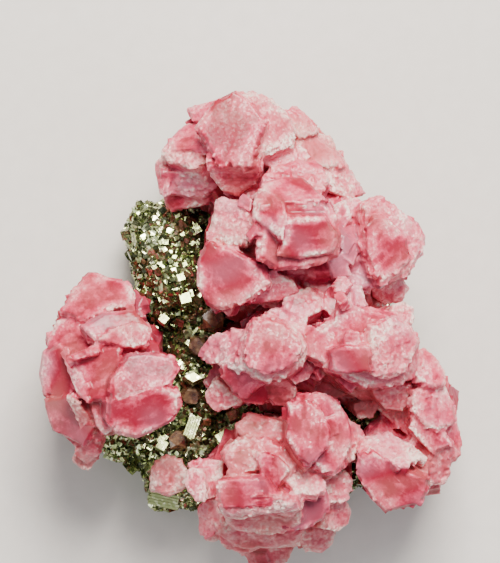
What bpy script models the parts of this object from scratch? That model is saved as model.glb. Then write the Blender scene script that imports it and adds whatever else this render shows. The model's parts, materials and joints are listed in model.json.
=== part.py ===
"""Rhodochrosite crystals on a pyrite matrix, lying on the broken back of the matrix.

Lengths in the tables are millimetres, x to the right, y up the specimen and z up from the surface
that it rests on. The origin is the middle of the underside of its box, which MIDDLE gives.

A crystal with a clear front face is made from the outline of that face, which is drawn back towards the
root. The crystals round the sides are plain rhombs, whose shape comes from the mineral's own angle.
"""
import math
import random

import bmesh
import bpy
from mathutils import Matrix, Vector, noise

MM = 0.001
MIDDLE = Vector((0.3, -0.9, 0.0))    # of the specimen's box, in the tables' x and y
SEAM = 0.3 * MM              # what separate pieces keep between them
POLAR_COSINE = -0.2262       # of the 103.1 degrees between a rhodochrosite rhomb's edges
SKIRT_SPACING = 7.5          # along the side of a cluster, between the rhombs that grow out of it
SKIRT_SIZE = (6.5, 9.5)
SKIRT_SEED = 7
FACE_SHARE = 0.88            # of a crystal's outline, that its front face keeps inside the bevel round it
BEVELLED_FROM = 3.2          # a crystal's half width, from which its face has a bevel round it
BEVEL_DROP = 0.16            # of a crystal's half width, from its front face down to its belt
ROOT_SHARE = 0.80            # of a crystal's outline, at its root
ROOT_PULL = 0.35             # of the way to the middle of its group, that a crystal's root lies from it
FLAT_ANGLE = 1.0             # degrees, under which neighbouring faces are one flat face

# A cluster's body from its top to its underside: the share of its height, and of its outline.
CORE_PROFILE = ((1.0, 0.45), (0.78, 0.80), (0.45, 0.95), (0.0, 0.60))

# Each crystal with a clear front face: the height of the middle of the face, how the face leans in x and y
# (a rise of its normal for each unit of height), where the root lies from the face in x and y, the depth from
# face to root, and the face's outline as points in x and y.
CRYSTALS = {
    "crown": [
        (37, (-0.1, 0.2), (1, -4.5), 10,
            [(-9.8, 35.8), (-6.4, 40.4), (-2.4, 42.5), (0.4, 40.6), (3.1, 36.9), (0.3, 28.9),
             (-5.4, 28.7)]),
        (34, (0.4, 0.2), (0, -5), 12,
            [(-4.3, 40.7), (0.1, 42.3), (3.6, 41.3), (6.5, 38.8), (8.4, 35.5), (7.9, 32.4),
             (1.5, 30.4)]),
        (31, (-0.3, 0.4), (1, -2), 9,
            [(-11.3, 39.5), (-6.5, 40.9), (-4.2, 41.6), (-3.5, 37.3), (-7.9, 36.6), (-10.2, 37.2)]),
        (31, (-0.4, 0.7), (1, -1), 9,
            [(-15.4, 32.5), (-12.8, 35.6), (-10.8, 37), (-8.5, 35.9), (-7.5, 31.9), (-15.1, 31.8)]),
        (32, (-0.15, 0.3), (1, -6.5), 9,
            [(-15.9, 32), (-8.4, 31.8), (-7.7, 30.1), (-9.2, 28.5), (-12, 29.1), (-15.6, 30.5)]),
        (28, (-0.75, 0), (2, 0), 9,
            [(-16.9, 30), (-15.5, 31.2), (-14.6, 27.6), (-14.6, 24), (-15.5, 23.5), (-16.4, 25.8)]),
        (25, (0, -0.6), (0, 1), 8,
            [(-15.6, 24.6), (-6.2, 25), (-6.8, 22.9), (-8.9, 22), (-14.3, 21.3), (-15.4, 22.7)]),
        (29, (0.3, 0.5), (-1, -2), 11,
            [(6, 38.9), (8.3, 40), (9.8, 38.9), (12.1, 36.6), (12.1, 35.1), (9, 34.2), (7.2, 36)]),
        (27, (0.45, 0.45), (-1, -2), 11,
            [(11.9, 35.4), (14.8, 34.7), (15.7, 32), (13.5, 30.3), (9.9, 33)]),
        (29, (0.4, 0.45), (0, -2), 11,
            [(8.1, 35.1), (12.3, 34.4), (15.7, 31.7), (17.4, 29.2), (12.6, 28.8), (8.7, 30.2)]),
        (27, (0.7, 0.2), (-2, -2), 11,
            [(14.4, 32.1), (15.9, 31.8), (18.4, 28.2), (21, 24.3), (18, 23.2), (15.9, 24), (13, 26.7)]),
        (28, (-0.15, 0), (0, 0), 9,
            [(-1, 28.9), (2.2, 30.8), (4.7, 29.6), (3.7, 26.4), (0.8, 24.4), (-1.2, 26.4)]),
        (31, (0.15, 0.45), (0, 0), 10,
            [(1.9, 31.6), (6.2, 34), (9, 33.1), (11, 30.7), (6.9, 28.8), (2.9, 29.1)]),
        (34.6, (0.1, -0.9), (0, 3), 9,
            [(-7.5, 29.6), (-3.4, 28.6), (2.4, 28.8), (1.5, 26.4), (-2.2, 23.6), (-4.9, 24.6),
             (-6.8, 27.1)]),
        (28.2, (-0.1, -0.7), (0, 2), 9,
            [(-15.8, 28.5), (-12.1, 28.1), (-8.5, 28.3), (-6.2, 25.6), (-7.6, 23.5), (-11.6, 23.7),
             (-15, 24.2), (-16.2, 26.4)]),
    ],
    "heart": [
        (34, (0.1, 0.5), (0, -3), 12,
            [(2.2, 26.3), (3.6, 28.7), (8.6, 30.3), (12.5, 29.6), (14.3, 26.5), (12.5, 24),
             (7.2, 25.6)]),
        (43, (0.15, -0.2), (-1, 4.5), 12,
            [(6.5, 19.8), (13.4, 20), (15.5, 15.8), (14.6, 13.4), (8.8, 12.5), (4.8, 13), (6, 16.1)]),
        (41, (0.1, 0), (0, 0), 12,
            [(2.2, 21.9), (5.9, 22.5), (13.8, 22.8), (15.2, 20.2), (16.2, 15.8), (15.7, 13),
             (12.4, 11.4), (8.8, 10.7), (4.6, 10.4), (1.1, 12.7)]),
        (42, (-0.5, 0.4), (0, -5), 12,
            [(0.4, 19.7), (0.8, 24.1), (3.2, 25.1), (6.2, 22.1), (6.7, 18.9), (5.8, 15.8)]),
        (40, (0, 0.75), (0, -3), 12,
            [(1.5, 24.6), (2.4, 26), (5.5, 26.9), (9.4, 26.9), (12, 24.4), (13.9, 22.7), (6, 22.1)]),
        (36, (-0.4, 0.15), (-1, -1), 12,
            [(-6.1, 23), (-4.5, 23.5), (-1.1, 22.4), (0.4, 19.8), (-0.3, 15.5), (-2.6, 14.8),
             (-7.7, 16.1), (-6.5, 20.1)]),
        (37, (-0.15, 0.45), (0, -1), 8,
            [(-1.7, 23.6), (-1.1, 24.2), (0.6, 22.9), (0.1, 20.8), (-2, 22)]),
        (38, (-0.2, 0), (0.5, -1), 14,
            [(-7.7, 15.7), (-3.1, 14.4), (2.6, 11.1), (3.8, 7.9), (0.4, 5.3), (-4.8, 3.4), (-7.5, 4.2),
             (-9.4, 7.8), (-9.3, 12)]),
        (36, (0.1, -0.5), (0, -1), 12,
            [(-0.6, 9.2), (4.5, 10.2), (7.7, 8.8), (8.8, 6.7), (6.3, 5.3), (0.1, 4.6), (-2.4, 5.6)]),
        (34, (0.2, 0), (0, -1), 9,
            [(21.7, 20.5), (24, 20.3), (28, 16.4), (28.3, 12), (24, 8.1), (22.1, 10.1), (20.6, 14.1),
             (20.5, 17.7)]),
        (32, (0.25, 0.1), (-1, -1), 13,
            [(20, 21.8), (21.8, 23.6), (24.5, 23.1), (27.5, 20.9), (30.4, 18.8), (31.6, 16.5),
             (30.5, 13.1), (28.7, 10.1), (24.1, 7.8), (21.6, 9.7), (20.2, 14.1)]),
        (29, (0, 0.3), (0, -1), 9,
            [(16.7, 22.9), (19.2, 23.8), (21, 22.2), (20.1, 20.4), (18, 20.1)]),
        (31, (-0.15, 0.15), (0, -1), 9,
            [(14.9, 22.2), (17, 23.3), (18.1, 20.6), (17.2, 18.3), (15.6, 19.9)]),
        (31, (0.15, 0.3), (0, -1), 9,
            [(16.5, 16.8), (18.1, 17.7), (19.3, 15.2), (18.3, 13.8), (16.5, 14.3)]),
        (30, (0.15, 0.3), (0, -1), 9,
            [(19.5, 16), (21.2, 17), (22, 14.5), (20.4, 12.9)]),
        (31, (0, 0.15), (0, -2), 12,
            [(15.2, 12), (19.3, 13.5), (23.1, 10.4), (22.2, 7.7), (18.8, 6.9), (15.8, 8.6)]),
        (25, (0.3, -0.3), (0, 0), 9,
            [(21.7, 8.5), (24.6, 7.6), (27.6, 9.5), (28.6, 7), (27.5, 4.7), (24.4, 4.5), (22.4, 5.6)]),
        (30, (0, -0.15), (0, 0), 11,
            [(1.2, 7.7), (4.5, 11.7), (9, 11), (11.5, 8.5), (10.1, 4.5), (5.8, 2.9), (2.2, 4.2)]),
        (31, (0.15, 0.15), (0, 0), 11,
            [(8.6, 9.9), (12.6, 11.8), (15.8, 10.8), (17.2, 8.1), (14.5, 5.8), (10.1, 6.5)]),
    ],
    "girdle": [
        (40, (0, 0), (0, -1), 9,
            [(0.4, 1.4), (3.2, 2.3), (5.9, 1.3), (9, -1.7), (9.2, -4.2), (7.1, -6.6), (3.2, -7.9),
             (-0.1, -6.3), (-1, -2.8)]),
        (38, (0, -0.1), (0, -1.5), 12,
            [(0.6, 2.1), (3.3, 2.8), (6.3, 1.8), (9.4, -0.7), (10.5, -3.2), (9.4, -6.3), (7.1, -8.3),
             (2.6, -9.2), (-2.4, -6.7), (-1.7, -1.8)]),
        (34, (-0.6, 0), (1, 0), 11,
            [(-9, -4.2), (-6.7, -0.8), (-4.3, -0.6), (-3.4, -2.9), (-4.9, -5.9), (-7.7, -6.1)]),
        (36, (-0.45, 0.15), (1, 0), 11,
            [(-4.9, -5.7), (-3.6, -1.4), (-3.3, 0.5), (-0.8, -0.5), (1.1, -0), (0.1, -5.7),
             (-2, -7.8)]),
        (35, (-0.3, -0.5), (1, 1), 11,
            [(-5.2, -5.7), (-2.4, -3.9), (0.4, -6.7), (2.6, -9.4), (-0.6, -12.3), (-3.1, -10.9),
             (-5, -8.4)]),
        (32, (0, -0.6), (0, 2), 11,
            [(-2, -8.6), (2.6, -9.1), (3.6, -11.3), (2.4, -13.5), (-1, -13.1), (-3.5, -11.1)]),
        (35, (0.15, 0.45), (0, -2), 12,
            [(6.1, 6.5), (10.7, 7.6), (13, 5.6), (12.7, 3.3), (9.3, 1.7), (5.7, 3.7)]),
        (36, (0, 0.3), (0, -2), 12,
            [(3.3, 3.3), (8.2, 4.7), (10.3, 2.1), (10, -1.1), (6.4, 1)]),
        (29, (-0.15, -0.15), (0, 0), 8,
            [(-8, -11.2), (-6.3, -9.2), (-4, -10.5), (-1.5, -13), (-3.8, -14.2), (-6.4, -14.6),
             (-7.8, -13.2)]),
        (33, (0.45, -0.3), (-1, 1), 11,
            [(7.2, -5.7), (9.1, -4.7), (11.5, -7), (10.6, -8.8), (8.1, -9.8), (6.5, -8)]),
        (31, (0.15, -0.6), (0, 1), 11,
            [(1.9, -9.7), (6.7, -9), (8.5, -11), (7.4, -13.9), (4.6, -13.5)]),
        (36, (0.1, 0), (0, -2), 13,
            [(10, -1.1), (14.2, 2.1), (20.9, 4.2), (26.3, 3), (28.7, 0.7), (30.3, -1.8), (29.8, -7.3),
             (27, -9.9), (21.3, -10.4), (14.7, -7.6), (11, -4.6)]),
        (38, (0.3, 0), (-1, -1), 12,
            [(20.8, -0.3), (25.1, 2.3), (28.5, 0.4), (30.1, -1.9), (29.2, -4.1), (27.2, -7.7),
             (23.7, -8.6), (21.2, -6)]),
        (40, (-0.1, -0.1), (0.5, 1), 9,
            [(14, -3.6), (15.9, -2.9), (20.8, -2.6), (21.5, -4.2), (21.1, -7.3), (16.9, -7.7),
             (14.7, -7.2)]),
        (39.5, (0, 0.15), (0, 0), 8,
            [(16.4, -1.4), (17.5, 0), (19.2, -0.1), (19.6, -1.9), (18.7, -2.6), (16.8, -2.4)]),
        (34, (0, 0.4), (0, -2), 12,
            [(13, 4.2), (13.9, 7.4), (16.6, 8.6), (18.2, 6.9), (18.2, 3.1), (15.3, 1.7)]),
        (33, (0.2, 0.3), (0, -2), 12,
            [(17.9, 8.1), (20, 7.8), (20.9, 4.4), (18.5, 2.8)]),
        (35, (0, 0.45), (0, -1), 9,
            [(14.6, 8.1), (15.7, 9.5), (17.3, 9.5), (18.3, 8.1), (16.9, 6.5), (14.9, 6.7)]),
        (29, (0.45, 0.3), (-1, -1), 9,
            [(25.6, 4.4), (27.6, 5.1), (29.6, 3.8), (29.2, 1.1), (27.2, 1), (25.3, 2.4)]),
        (28, (0, -0.9), (0, 3), 9,
            [(13.5, -7.8), (18, -8.7), (21.9, -10.5), (24, -12.2), (20.2, -12.9), (15.3, -10.5)]),
        (29, (0.2, -0.4), (0, 1), 9,
            [(21.9, -11.2), (26.9, -9.8), (29.2, -10.1), (29.4, -12.7), (27.5, -14.8), (24.2, -14.3)]),
        (24, (0.15, 0), (0, 0), 8,
            [(18.8, -13.5), (22.1, -12.3), (24.1, -13.5), (22.1, -16.1), (19.4, -16.2)]),
        (22, (0, 0.15), (0, 0), 8,
            [(10.6, -8.2), (14.6, -6.7), (18.5, -9.3), (22.2, -12.7), (17.3, -12.9), (11.8, -10.7)]),
        (33, (0, 0.3), (0, 0), 9,
            [(9.5, 5.3), (10, 6.9), (11.8, 7.6), (13.4, 6.5), (13.4, 4.6), (11.6, 3.1), (10, 3.7)]),
    ],
    "flank": [
        (30, (0.4, 0.5), (-1, -2), 11,
            [(29.4, -4), (31.2, -3.2), (33, -4.6), (35.1, -7.6), (34.9, -10.1), (31.8, -10.4),
             (29.1, -7.9)]),
        (30, (0.45, 0.15), (-1, -1), 11,
            [(29, -10.8), (31.9, -9.6), (35.1, -10.1), (36.4, -13.2), (37.1, -16.6), (34, -18.3),
             (31.1, -17.2), (28.9, -14.7)]),
        (30, (0.15, -0.15), (0, 0), 11,
            [(28.8, -14.7), (31.3, -14), (34.4, -17.1), (36.2, -20.8), (32.8, -22.3), (30.3, -19.9),
             (28.6, -17.6)]),
        (26, (0.75, 0.1), (-2, 0), 10,
            [(35.1, -11.3), (36.6, -13.3), (37.9, -18.7), (38, -22.3), (35.6, -23.1), (34.2, -18.1)]),
        (27, (0.45, -0.3), (-1, 1), 11,
            [(32.3, -21.3), (35.9, -20.2), (38.2, -22.4), (36.2, -24), (35.5, -27.8), (32.4, -28.1),
             (31.6, -24.5)]),
        (32, (0, -0.2), (0.5, 4.5), 12,
            [(19.3, -22.5), (21.8, -21.2), (26.8, -24.6), (31.9, -26.4), (31.8, -29.1), (30.5, -31.2),
             (27.7, -31.8), (24.1, -32.7), (21.6, -30.2), (18.9, -25.7)]),
        (31, (0.1, 0.9), (0, 0), 9,
            [(19, -21.5), (20.1, -19.4), (24, -18.3), (28.3, -20.3), (31.8, -23), (27.1, -24.4),
             (22.2, -21.3)]),
    ],
    "foot": [
        (37, (-0.1, 0.1), (-0.5, -1.5), 11,
            [(6.8, -12.9), (10.9, -12.4), (13, -14.5), (14.4, -17.6), (14, -20.5), (10.5, -24.3),
             (8.2, -22.1), (6.6, -19.4)]),
        (34, (0.2, 0), (0, -1), 12,
            [(8.1, -11.7), (13.4, -11.2), (15.5, -12.5), (17.3, -15), (18.2, -17.8), (18.2, -20.8),
             (16.8, -24.2), (15, -26.1), (11.8, -24.8), (8.9, -19.5)]),
        (30, (0.6, 0), (-2, 0), 11,
            [(17, -15.8), (19.4, -17.1), (21, -19.3), (20.1, -21.4), (17.9, -23.8), (16.3, -25.2),
             (16.7, -19.7)]),
        (30, (-0.1, 0.5), (0, -1), 11,
            [(-2.8, -17.1), (0.1, -15.1), (3.3, -15.7), (6.7, -16.7), (7.2, -19.2), (5.4, -20.2),
             (1.9, -19.4), (-1.7, -19)]),
        (33, (-0.1, 0.15), (0, -2), 12,
            [(-5.4, -21.9), (-2, -19.1), (2.8, -19.1), (7.2, -21.4), (9, -23.8), (7.9, -25.6),
             (4.9, -28.6), (2.2, -27.7), (-2, -26)]),
        (35, (-0.15, 0), (0, -1), 8,
            [(-4.5, -22.4), (-0.4, -20.7), (1.7, -21.8), (1, -24.8), (-3.5, -25.7)]),
        (35.5, (0.15, -0.15), (0, 0), 8,
            [(1.2, -21.6), (4.9, -22.3), (7.3, -24.8), (4.9, -28.2), (2.2, -26.6)]),
        (37, (0, -0.1), (0.5, 1), 12,
            [(-5.9, -26.5), (-1.7, -25.9), (3.3, -26.3), (4.3, -28.2), (3.8, -30.7), (-0.8, -31.4),
             (-4.9, -31.6), (-5.7, -29.6)]),
        (35.5, (0, -0.7), (0, 1), 11,
            [(-5.6, -30), (-0.8, -30), (4.5, -28.6), (8.6, -30.2), (9.1, -31.9), (7.2, -33.1),
             (3.3, -32.6), (-1.7, -33.7), (-3.8, -33.5), (-5.2, -32.4)]),
        (31, (0.2, -0.3), (-0.5, 1), 11,
            [(5.4, -29.6), (9.9, -28.2), (13.8, -28.6), (14.4, -31.1), (13.1, -34), (9.9, -35.8),
             (6.2, -35.9)]),
        (33, (0.1, 0.6), (0, -2), 11,
            [(6.7, -26.7), (8.8, -24.8), (12.4, -25.2), (13.8, -27.8), (12.2, -29), (8.1, -29)]),
        (28, (0.45, 0.15), (-1, -1), 10,
            [(12.6, -26.6), (14.8, -25.9), (17.1, -25.1), (18.6, -26.9), (18, -29.2), (17.5, -30.8),
             (14.4, -31.1), (13.5, -28.7)]),
        (25, (0.6, -0.3), (-2, 1), 10,
            [(13.9, -31.2), (17.4, -30.6), (18.5, -33), (17.9, -35.2), (15.9, -36.6), (13, -35.8)]),
        (19, (0.3, -0.6), (-1, 1), 8,
            [(9.2, -36.9), (15.7, -36.2), (15.2, -39.4), (13.2, -41.1), (9.9, -40.5)]),
        (26, (-0.5, -0.2), (1.5, 0.5), 9,
            [(-9.4, -32.4), (-8, -30.7), (-5.8, -30.5), (-4.8, -32.8), (-4.9, -34.4), (-6.7, -37.2),
             (-8, -38), (-9.1, -35.8)]),
        (23, (-0.15, -0.75), (0, 1), 8,
            [(-8, -38.4), (-5, -34.6), (-2.8, -35.9), (-4.6, -37.6), (-6.8, -38.8)]),
        (27, (0, -0.75), (0, 2), 10,
            [(-5.8, -36.4), (-4.9, -34.3), (-0.8, -33.8), (7.6, -33), (9.6, -35.6), (9.1, -39),
             (3.7, -39.6), (-1.7, -39.6), (-4.4, -38.1)]),
        (20, (0, -0.6), (0, 1), 8,
            [(-5.9, -37.6), (-2.4, -38.3), (0.5, -39.3), (-1, -41.2), (-4.6, -39.8)]),
        (17, (0, -0.3), (0, 1), 8,
            [(-1.2, -40), (3.7, -39.5), (7.7, -40.2), (7, -42.6), (3.7, -44.3), (0.5, -44.3)]),
        (31, (-0.3, 0.15), (1, 0), 10,
            [(-11.7, -26.7), (-10.8, -24.7), (-8.8, -24.9), (-7.9, -28.2), (-8.1, -30.5), (-9.9, -30),
             (-11.1, -28.4)]),
        (28, (0, 0.3), (0, 0), 9,
            [(-11.4, -24), (-8, -23.1), (-4.7, -23.6), (-4.9, -27), (-8, -27.3)]),
        (36, (0, -0.7), (0, 1), 8,
            [(-5, -30.9), (-0.6, -30.9), (4.3, -30.2), (8.6, -30.6), (8.7, -31.5), (4, -32.2),
             (-0.6, -32.6), (-4.9, -32.4)]),
        (31.5, (0, -0.75), (0, 2), 9,
            [(-4.9, -32.4), (0.1, -33), (4.7, -32.4), (9, -31.9), (9.7, -34.6), (7.2, -36.1),
             (2.2, -36.5), (-2.4, -35.9), (-4.2, -34.6)]),
    ],
    "lone": [
        (22, (-0.1, -0.1), (0, 0), 7,
            [(-17.8, -25.2), (-15.8, -23.4), (-12.6, -23.5), (-11.1, -25.7), (-11.5, -29),
             (-14.6, -30.6), (-18.2, -29.2)]),
    ],
    "rosette": [
        (26, (-0.2, 0.5), (1, -2), 9,
            [(-34.2, 2.9), (-31.6, 7.4), (-29.3, 10.3), (-27.7, 10.3), (-24.6, 9), (-22.2, 8.6),
             (-20.5, 6.5), (-20.7, 3.8), (-25.9, 3.4), (-29.5, 1.3)]),
        (31.5, (0.1, 0.5), (0, -2), 11,
            [(-30.2, 0.5), (-26.1, 3.1), (-20.6, 3.5), (-17.5, 0.3), (-17.9, -2.9), (-22.3, -2.9),
             (-26.9, -2.7)]),
        (33, (0.2, 0), (0, -1), 11,
            [(-27, -1.8), (-24.8, -0.1), (-20.3, 1.5), (-17.7, 0.3), (-17.9, -2.9), (-22.3, -3.3)]),
        (28, (-0.6, 0), (2, 0), 10,
            [(-37.4, -4.1), (-33.9, -2.6), (-32.5, -4.8), (-28.5, -10.5), (-28.8, -13.3),
             (-33.9, -12.3), (-37.2, -11.8), (-38, -8.2)]),
        (27, (-0.45, 0.4), (1, -1), 9,
            [(-36.6, -2.9), (-34.8, 1.6), (-31.2, 2.2), (-29.7, 0.2), (-26.4, -3), (-32.2, -5)]),
        (33, (-0.3, 0.15), (1, 0), 11,
            [(-33, -4.9), (-26.6, -2.9), (-23.2, -2.9), (-22.6, -4.8), (-24.4, -7.9), (-24.7, -12.8),
             (-28, -12.8), (-30.1, -9)]),
        (37, (0.2, -0.25), (-1, -1.5), 13,
            [(-25.1, -12.7), (-21.4, -11.3), (-17.2, -9.9), (-13.8, -10.1), (-12.3, -11.3),
             (-12.1, -13.8), (-13.5, -16.1), (-16.5, -17.7), (-20, -19.3), (-23.5, -18.4),
             (-25.3, -15.9)]),
        (28, (-0.5, -0.3), (2, 1), 10,
            [(-37, -12.5), (-33.5, -11.8), (-28.7, -13.7), (-27.4, -18), (-29.3, -21.1),
             (-32.7, -19.5), (-35.5, -18.3), (-36.5, -15.2)]),
        (28.3, (-0.1, -0.75), (0, 0), 8,
            [(-32.7, -11.8), (-30.7, -12.4), (-28.1, -16.2), (-26.1, -19.5), (-27.2, -22.8),
             (-29.4, -24.3), (-31, -23.2), (-29.8, -19.9), (-30.8, -15.8)]),
        (23, (0, -0.15), (0.5, 1), 7,
            [(-30.2, -21.2), (-27.7, -19.9), (-26.5, -21.5), (-27.2, -23.1), (-29.2, -25.9),
             (-31.9, -23.7)]),
        (37.2, (0.05, 0.2), (-1, -1.5), 12,
            [(-24.4, -8.5), (-21.8, -4.2), (-17.6, -3.9), (-13.3, -4.6), (-12.3, -6.7), (-13.7, -9.7),
             (-17.2, -10.7), (-21.4, -12), (-24.7, -13)]),
        (32, (-0.45, 0.15), (0, 0), 6,
            [(-33.6, -4), (-32.7, -3.7), (-30, -8.3), (-28.3, -10.9), (-28.7, -13), (-30.5, -11.8),
             (-32, -8.1)]),
        (33.4, (0, 0.6), (0, 0), 6,
            [(-31.8, -4.7), (-27.6, -2.7), (-26.2, -2), (-27.1, -4.3), (-31.3, -5.4)]),
        (31.5, (-0.1, -0.15), (0, 0), 9,
            [(-28.7, -11.5), (-25.2, -11.8), (-24.3, -14.7), (-23.8, -17.5), (-25.7, -19),
             (-27.5, -17.2)]),
    ],
}

# The grown-together body under each cluster's crystals: the heights of its underside and its top, and the
# outline round its middle. CORE_PROFILE gives the shape between them.
CORES = {
    "crown": (9.0, 28.0, [
        (-14.4, 31.5), (-11.0, 36.0), (-4.0, 40.0), (1.5, 40.5), (7.0, 37.5), (13.5, 33.0), (19.0, 25.5),
        (15.0, 21.5), (5.5, 22.5), (-2.0, 25.0), (-9.0, 23.5), (-14.0, 24.5)]),
    "heart": (9.0, 33.0, [
        (-6.8, 21.0), (0.5, 24.5), (9.0, 27.5), (19.5, 23.0), (29.0, 17.5), (28.5, 10.5), (23.5, 5.5),
        (9.5, 4.0), (-4.0, 4.5), (-8.0, 9.0), (-8.0, 15.5)]),
    "girdle": (9.0, 32.0, [
        (-7.0, -2.0), (0.0, 4.0), (9.0, 6.5), (23.0, 7.0), (28.0, 1.0), (28.5, -7.5), (23.0, -12.5),
        (14.5, -10.5), (7.5, -11.0), (-1.0, -13.0), (-6.5, -12.0), (-7.2, -6.5)]),
    "flank": (8.0, 25.0, [
        (30.5, -5.5), (34.0, -7.5), (36.5, -19.0), (35.0, -26.0), (31.5, -29.5), (24.5, -31.5),
        (21.0, -28.0), (20.5, -23.5), (24.0, -20.5), (29.0, -18.0)]),
    "foot": (8.0, 30.0, [
        (-1.0, -17.5), (8.0, -13.5), (16.0, -13.0), (19.0, -20.0), (17.0, -26.0), (16.8, -33.0),
        (9.5, -38.5), (-1.5, -39.0), (-8.0, -36.0), (-9.0, -27.0), (-4.5, -23.0)]),
    "rosette": (8.5, 26.0, [
        (-33.0, 3.0), (-28.5, 8.0), (-22.5, 7.0), (-19.0, 0.0), (-14.5, -5.5), (-14.0, -13.5),
        (-19.0, -18.0), (-25.0, -18.5), (-29.5, -20.0), (-34.5, -17.0), (-36.0, -12.0), (-35.8, -4.0)]),
}
# The plate of matrix that was broken out with the crystals: its outline, and its levels from the top to the
# underside with the share of the outline that each has.
PLATE = [
    (-12.0, 33.0), (2.0, 37.0), (14.0, 31.0), (22.0, 22.0), (28.0, 14.0), (27.0, 4.0), (31.0, -4.0),
    (34.0, -14.0), (32.0, -24.0), (24.0, -29.0), (16.0, -33.0), (6.0, -38.0), (-6.0, -37.0), (-15.0, -32.5),
    (-21.0, -24.0), (-30.0, -17.0), (-34.0, -8.0), (-32.0, 2.0), (-24.0, 5.0), (-19.5, 14.0), (-16.5, 24.0)]
PLATE_LEVELS = ((14.0, 0.66), (10.5, 0.90), (5.0, 0.97), (0.0, 0.88))
# The lumps on it, where it shows between the clusters: the middle in x, y and z, the half lengths, and for
# the two of the large dome how finely their faces are divided.
LUMPS = [
    ((-15.0, 14.5, 9.0), (7.8, 8.7, 14.5), 3),
    ((-12.5, 8.0, 9.0), (8.2, 8.8, 15.5), 3),
    ((-9.0, -4.5, 7.0), (9.5, 8.5, 12.5)),
    ((-10.5, -14.5, 6.0), (10.0, 10.0, 11.8)),
    ((-19.5, -19.0, 5.5), (8.5, 6.5, 8.5)),
    ((-13.5, -27.5, 5.0), (7.0, 6.5, 8.0)),
    ((7.0, -14.0, 5.0), (16.0, 8.5, 14.0)),
    ((20.0, -14.0, 5.0), (9.0, 8.5, 13.5)),
]
# The larger pyrite cubes on the open matrix: the middle in x, y and z, the edge, and its turns in degrees
# about x and y, after a spin about z.
CUBES = [
    ((-11.6, 5.3, 24.0), 2.6, (-19, 4, 15)),
    ((-16.0, -21.6, 14.8), 2.4, (-20, 2, 60)),
    ((-5.0, -20.0, 18.4), 2.6, (-16, 6, 35)),
    ((-18.0, -26.2, 12.4), 1.9, (25, 15, 40)),
    ((-3.2, -16.1, 18.9), 1.9, (-21, 7, 20)),
    ((-16.5, 13.6, 22.4), 1.7, (-14, 40, 25)),
    ((-15.5, 1.5, 20.0), 2.1, (-22, -1, 50)),
    ((22.4, -16.2, 18.4), 2.3, (-19, 5, 70)),
]
# The long striated pyrite crystals: the two ends' middles in x, y and z, and the thickness.
BARS = [
    ((-18.6, -31.0, 10.0), (-12.9, -32.3, 10.8), 2.6),
    ((-12.3, -8.7, 18.4), (-8.0, -9.3, 19.4), 2.5),
    ((-11.2, -20.2, 18.2), (-9.6, -15.7, 19.0), 2.2),
]
# Brown sphalerite between the pyrite and the rhodochrosite: the middle in x, y and z, and the size.
SPHALERITE = [
    ((-6.6, 1.6, 20.4), 4.6),
    ((-9.3, -3.0, 19.0), 3.8),
    ((-10.6, -11.9, 18.2), 3.8),
    ((-13.0, -20.6, 15.6), 3.6),
]

COLOURS = {
    "rhodochrosite": ((0.76, 0.25, 0.28), 0.35, 0.0),
    "pyrite": ((0.52, 0.47, 0.30), 0.35, 1.0),
    "sphalerite": ((0.20, 0.08, 0.04), 0.25, 0.0),
}


def material(name):
    """The named mineral's colour, roughness and metallic value."""
    colour, roughness, metallic = COLOURS[name]
    made = bpy.data.materials.new(name)
    made.use_nodes = True
    shader = made.node_tree.nodes["Principled BSDF"]
    shader.inputs["Base Color"].default_value = (*colour, 1.0)
    shader.inputs["Roughness"].default_value = roughness
    shader.inputs["Metallic"].default_value = metallic
    return made


def clear_scene():
    for obj in list(bpy.data.objects):
        bpy.data.objects.remove(obj)


def grown(bm, distance):
    """Every face of a small closed shape moved out by the distance."""
    bmesh.ops.recalc_face_normals(bm, faces=bm.faces)
    moves = [vert.normal * vert.calc_shell_factor() * distance for vert in bm.verts]
    for vert, move in zip(bm.verts, moves):
        vert.co += move


def to_object(bm, name, grow=0.0):
    bmesh.ops.recalc_face_normals(bm, faces=bm.faces)
    if grow:
        grown(bm, grow)
    bmesh.ops.translate(bm, verts=bm.verts, vec=-MIDDLE * MM)
    mesh = bpy.data.meshes.new(name)
    bm.to_mesh(mesh)
    bm.free()
    obj = bpy.data.objects.new(name, mesh)
    bpy.context.scene.collection.objects.link(obj)
    return obj


def middle_of(outline):
    return sum((Vector(point) for point in outline), Vector((0, 0))) / len(outline)


def stack_rings(bm, rings):
    """Closes a stack of rings of points into one solid."""
    count = len(rings[0])
    for upper, lower in zip(rings, rings[1:]):
        for k in range(count):
            n = (k + 1) % count
            bm.faces.new((upper[k], lower[k], lower[n], upper[n]))
    bm.faces.new(rings[0])
    bm.faces.new(rings[-1][::-1])
    bmesh.ops.triangulate(bm, faces=[face for face in bm.faces if len(face.verts) == 4])


def face_crystal(group_middle, height, lean, shift, depth, outline, grow):
    """A crystal: its front face, the belt round it where its outline is widest, and its root.

    The root is drawn in, and lies towards the middle of the group that the crystal grows in. A small
    crystal has no bevel between its face and its belt.
    """
    middle = middle_of(outline)
    root = (group_middle - middle) * ROOT_PULL + Vector(shift)
    spread = math.sqrt(sum((Vector(point) - middle).length_squared for point in outline) / len(outline))
    bm = bmesh.new()
    levels = [(FACE_SHARE, 0, 0), (1, BEVEL_DROP * spread, 0), (ROOT_SHARE, depth, 1)]
    if spread < BEVELLED_FROM:
        levels[:2] = [(1, 0, 0)]
    rings = []
    for share, down, slide in levels:
        ring = []
        for point in outline:
            place = (Vector(point) - middle) * share
            fall = place.dot(Vector(lean)) + down
            ring.append(bm.verts.new(Vector((*(middle + place + root * slide), height - fall)) * MM))
        rings.append(ring)
    stack_rings(bm, rings)
    return to_object(bm, "crystal", grow)


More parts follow.
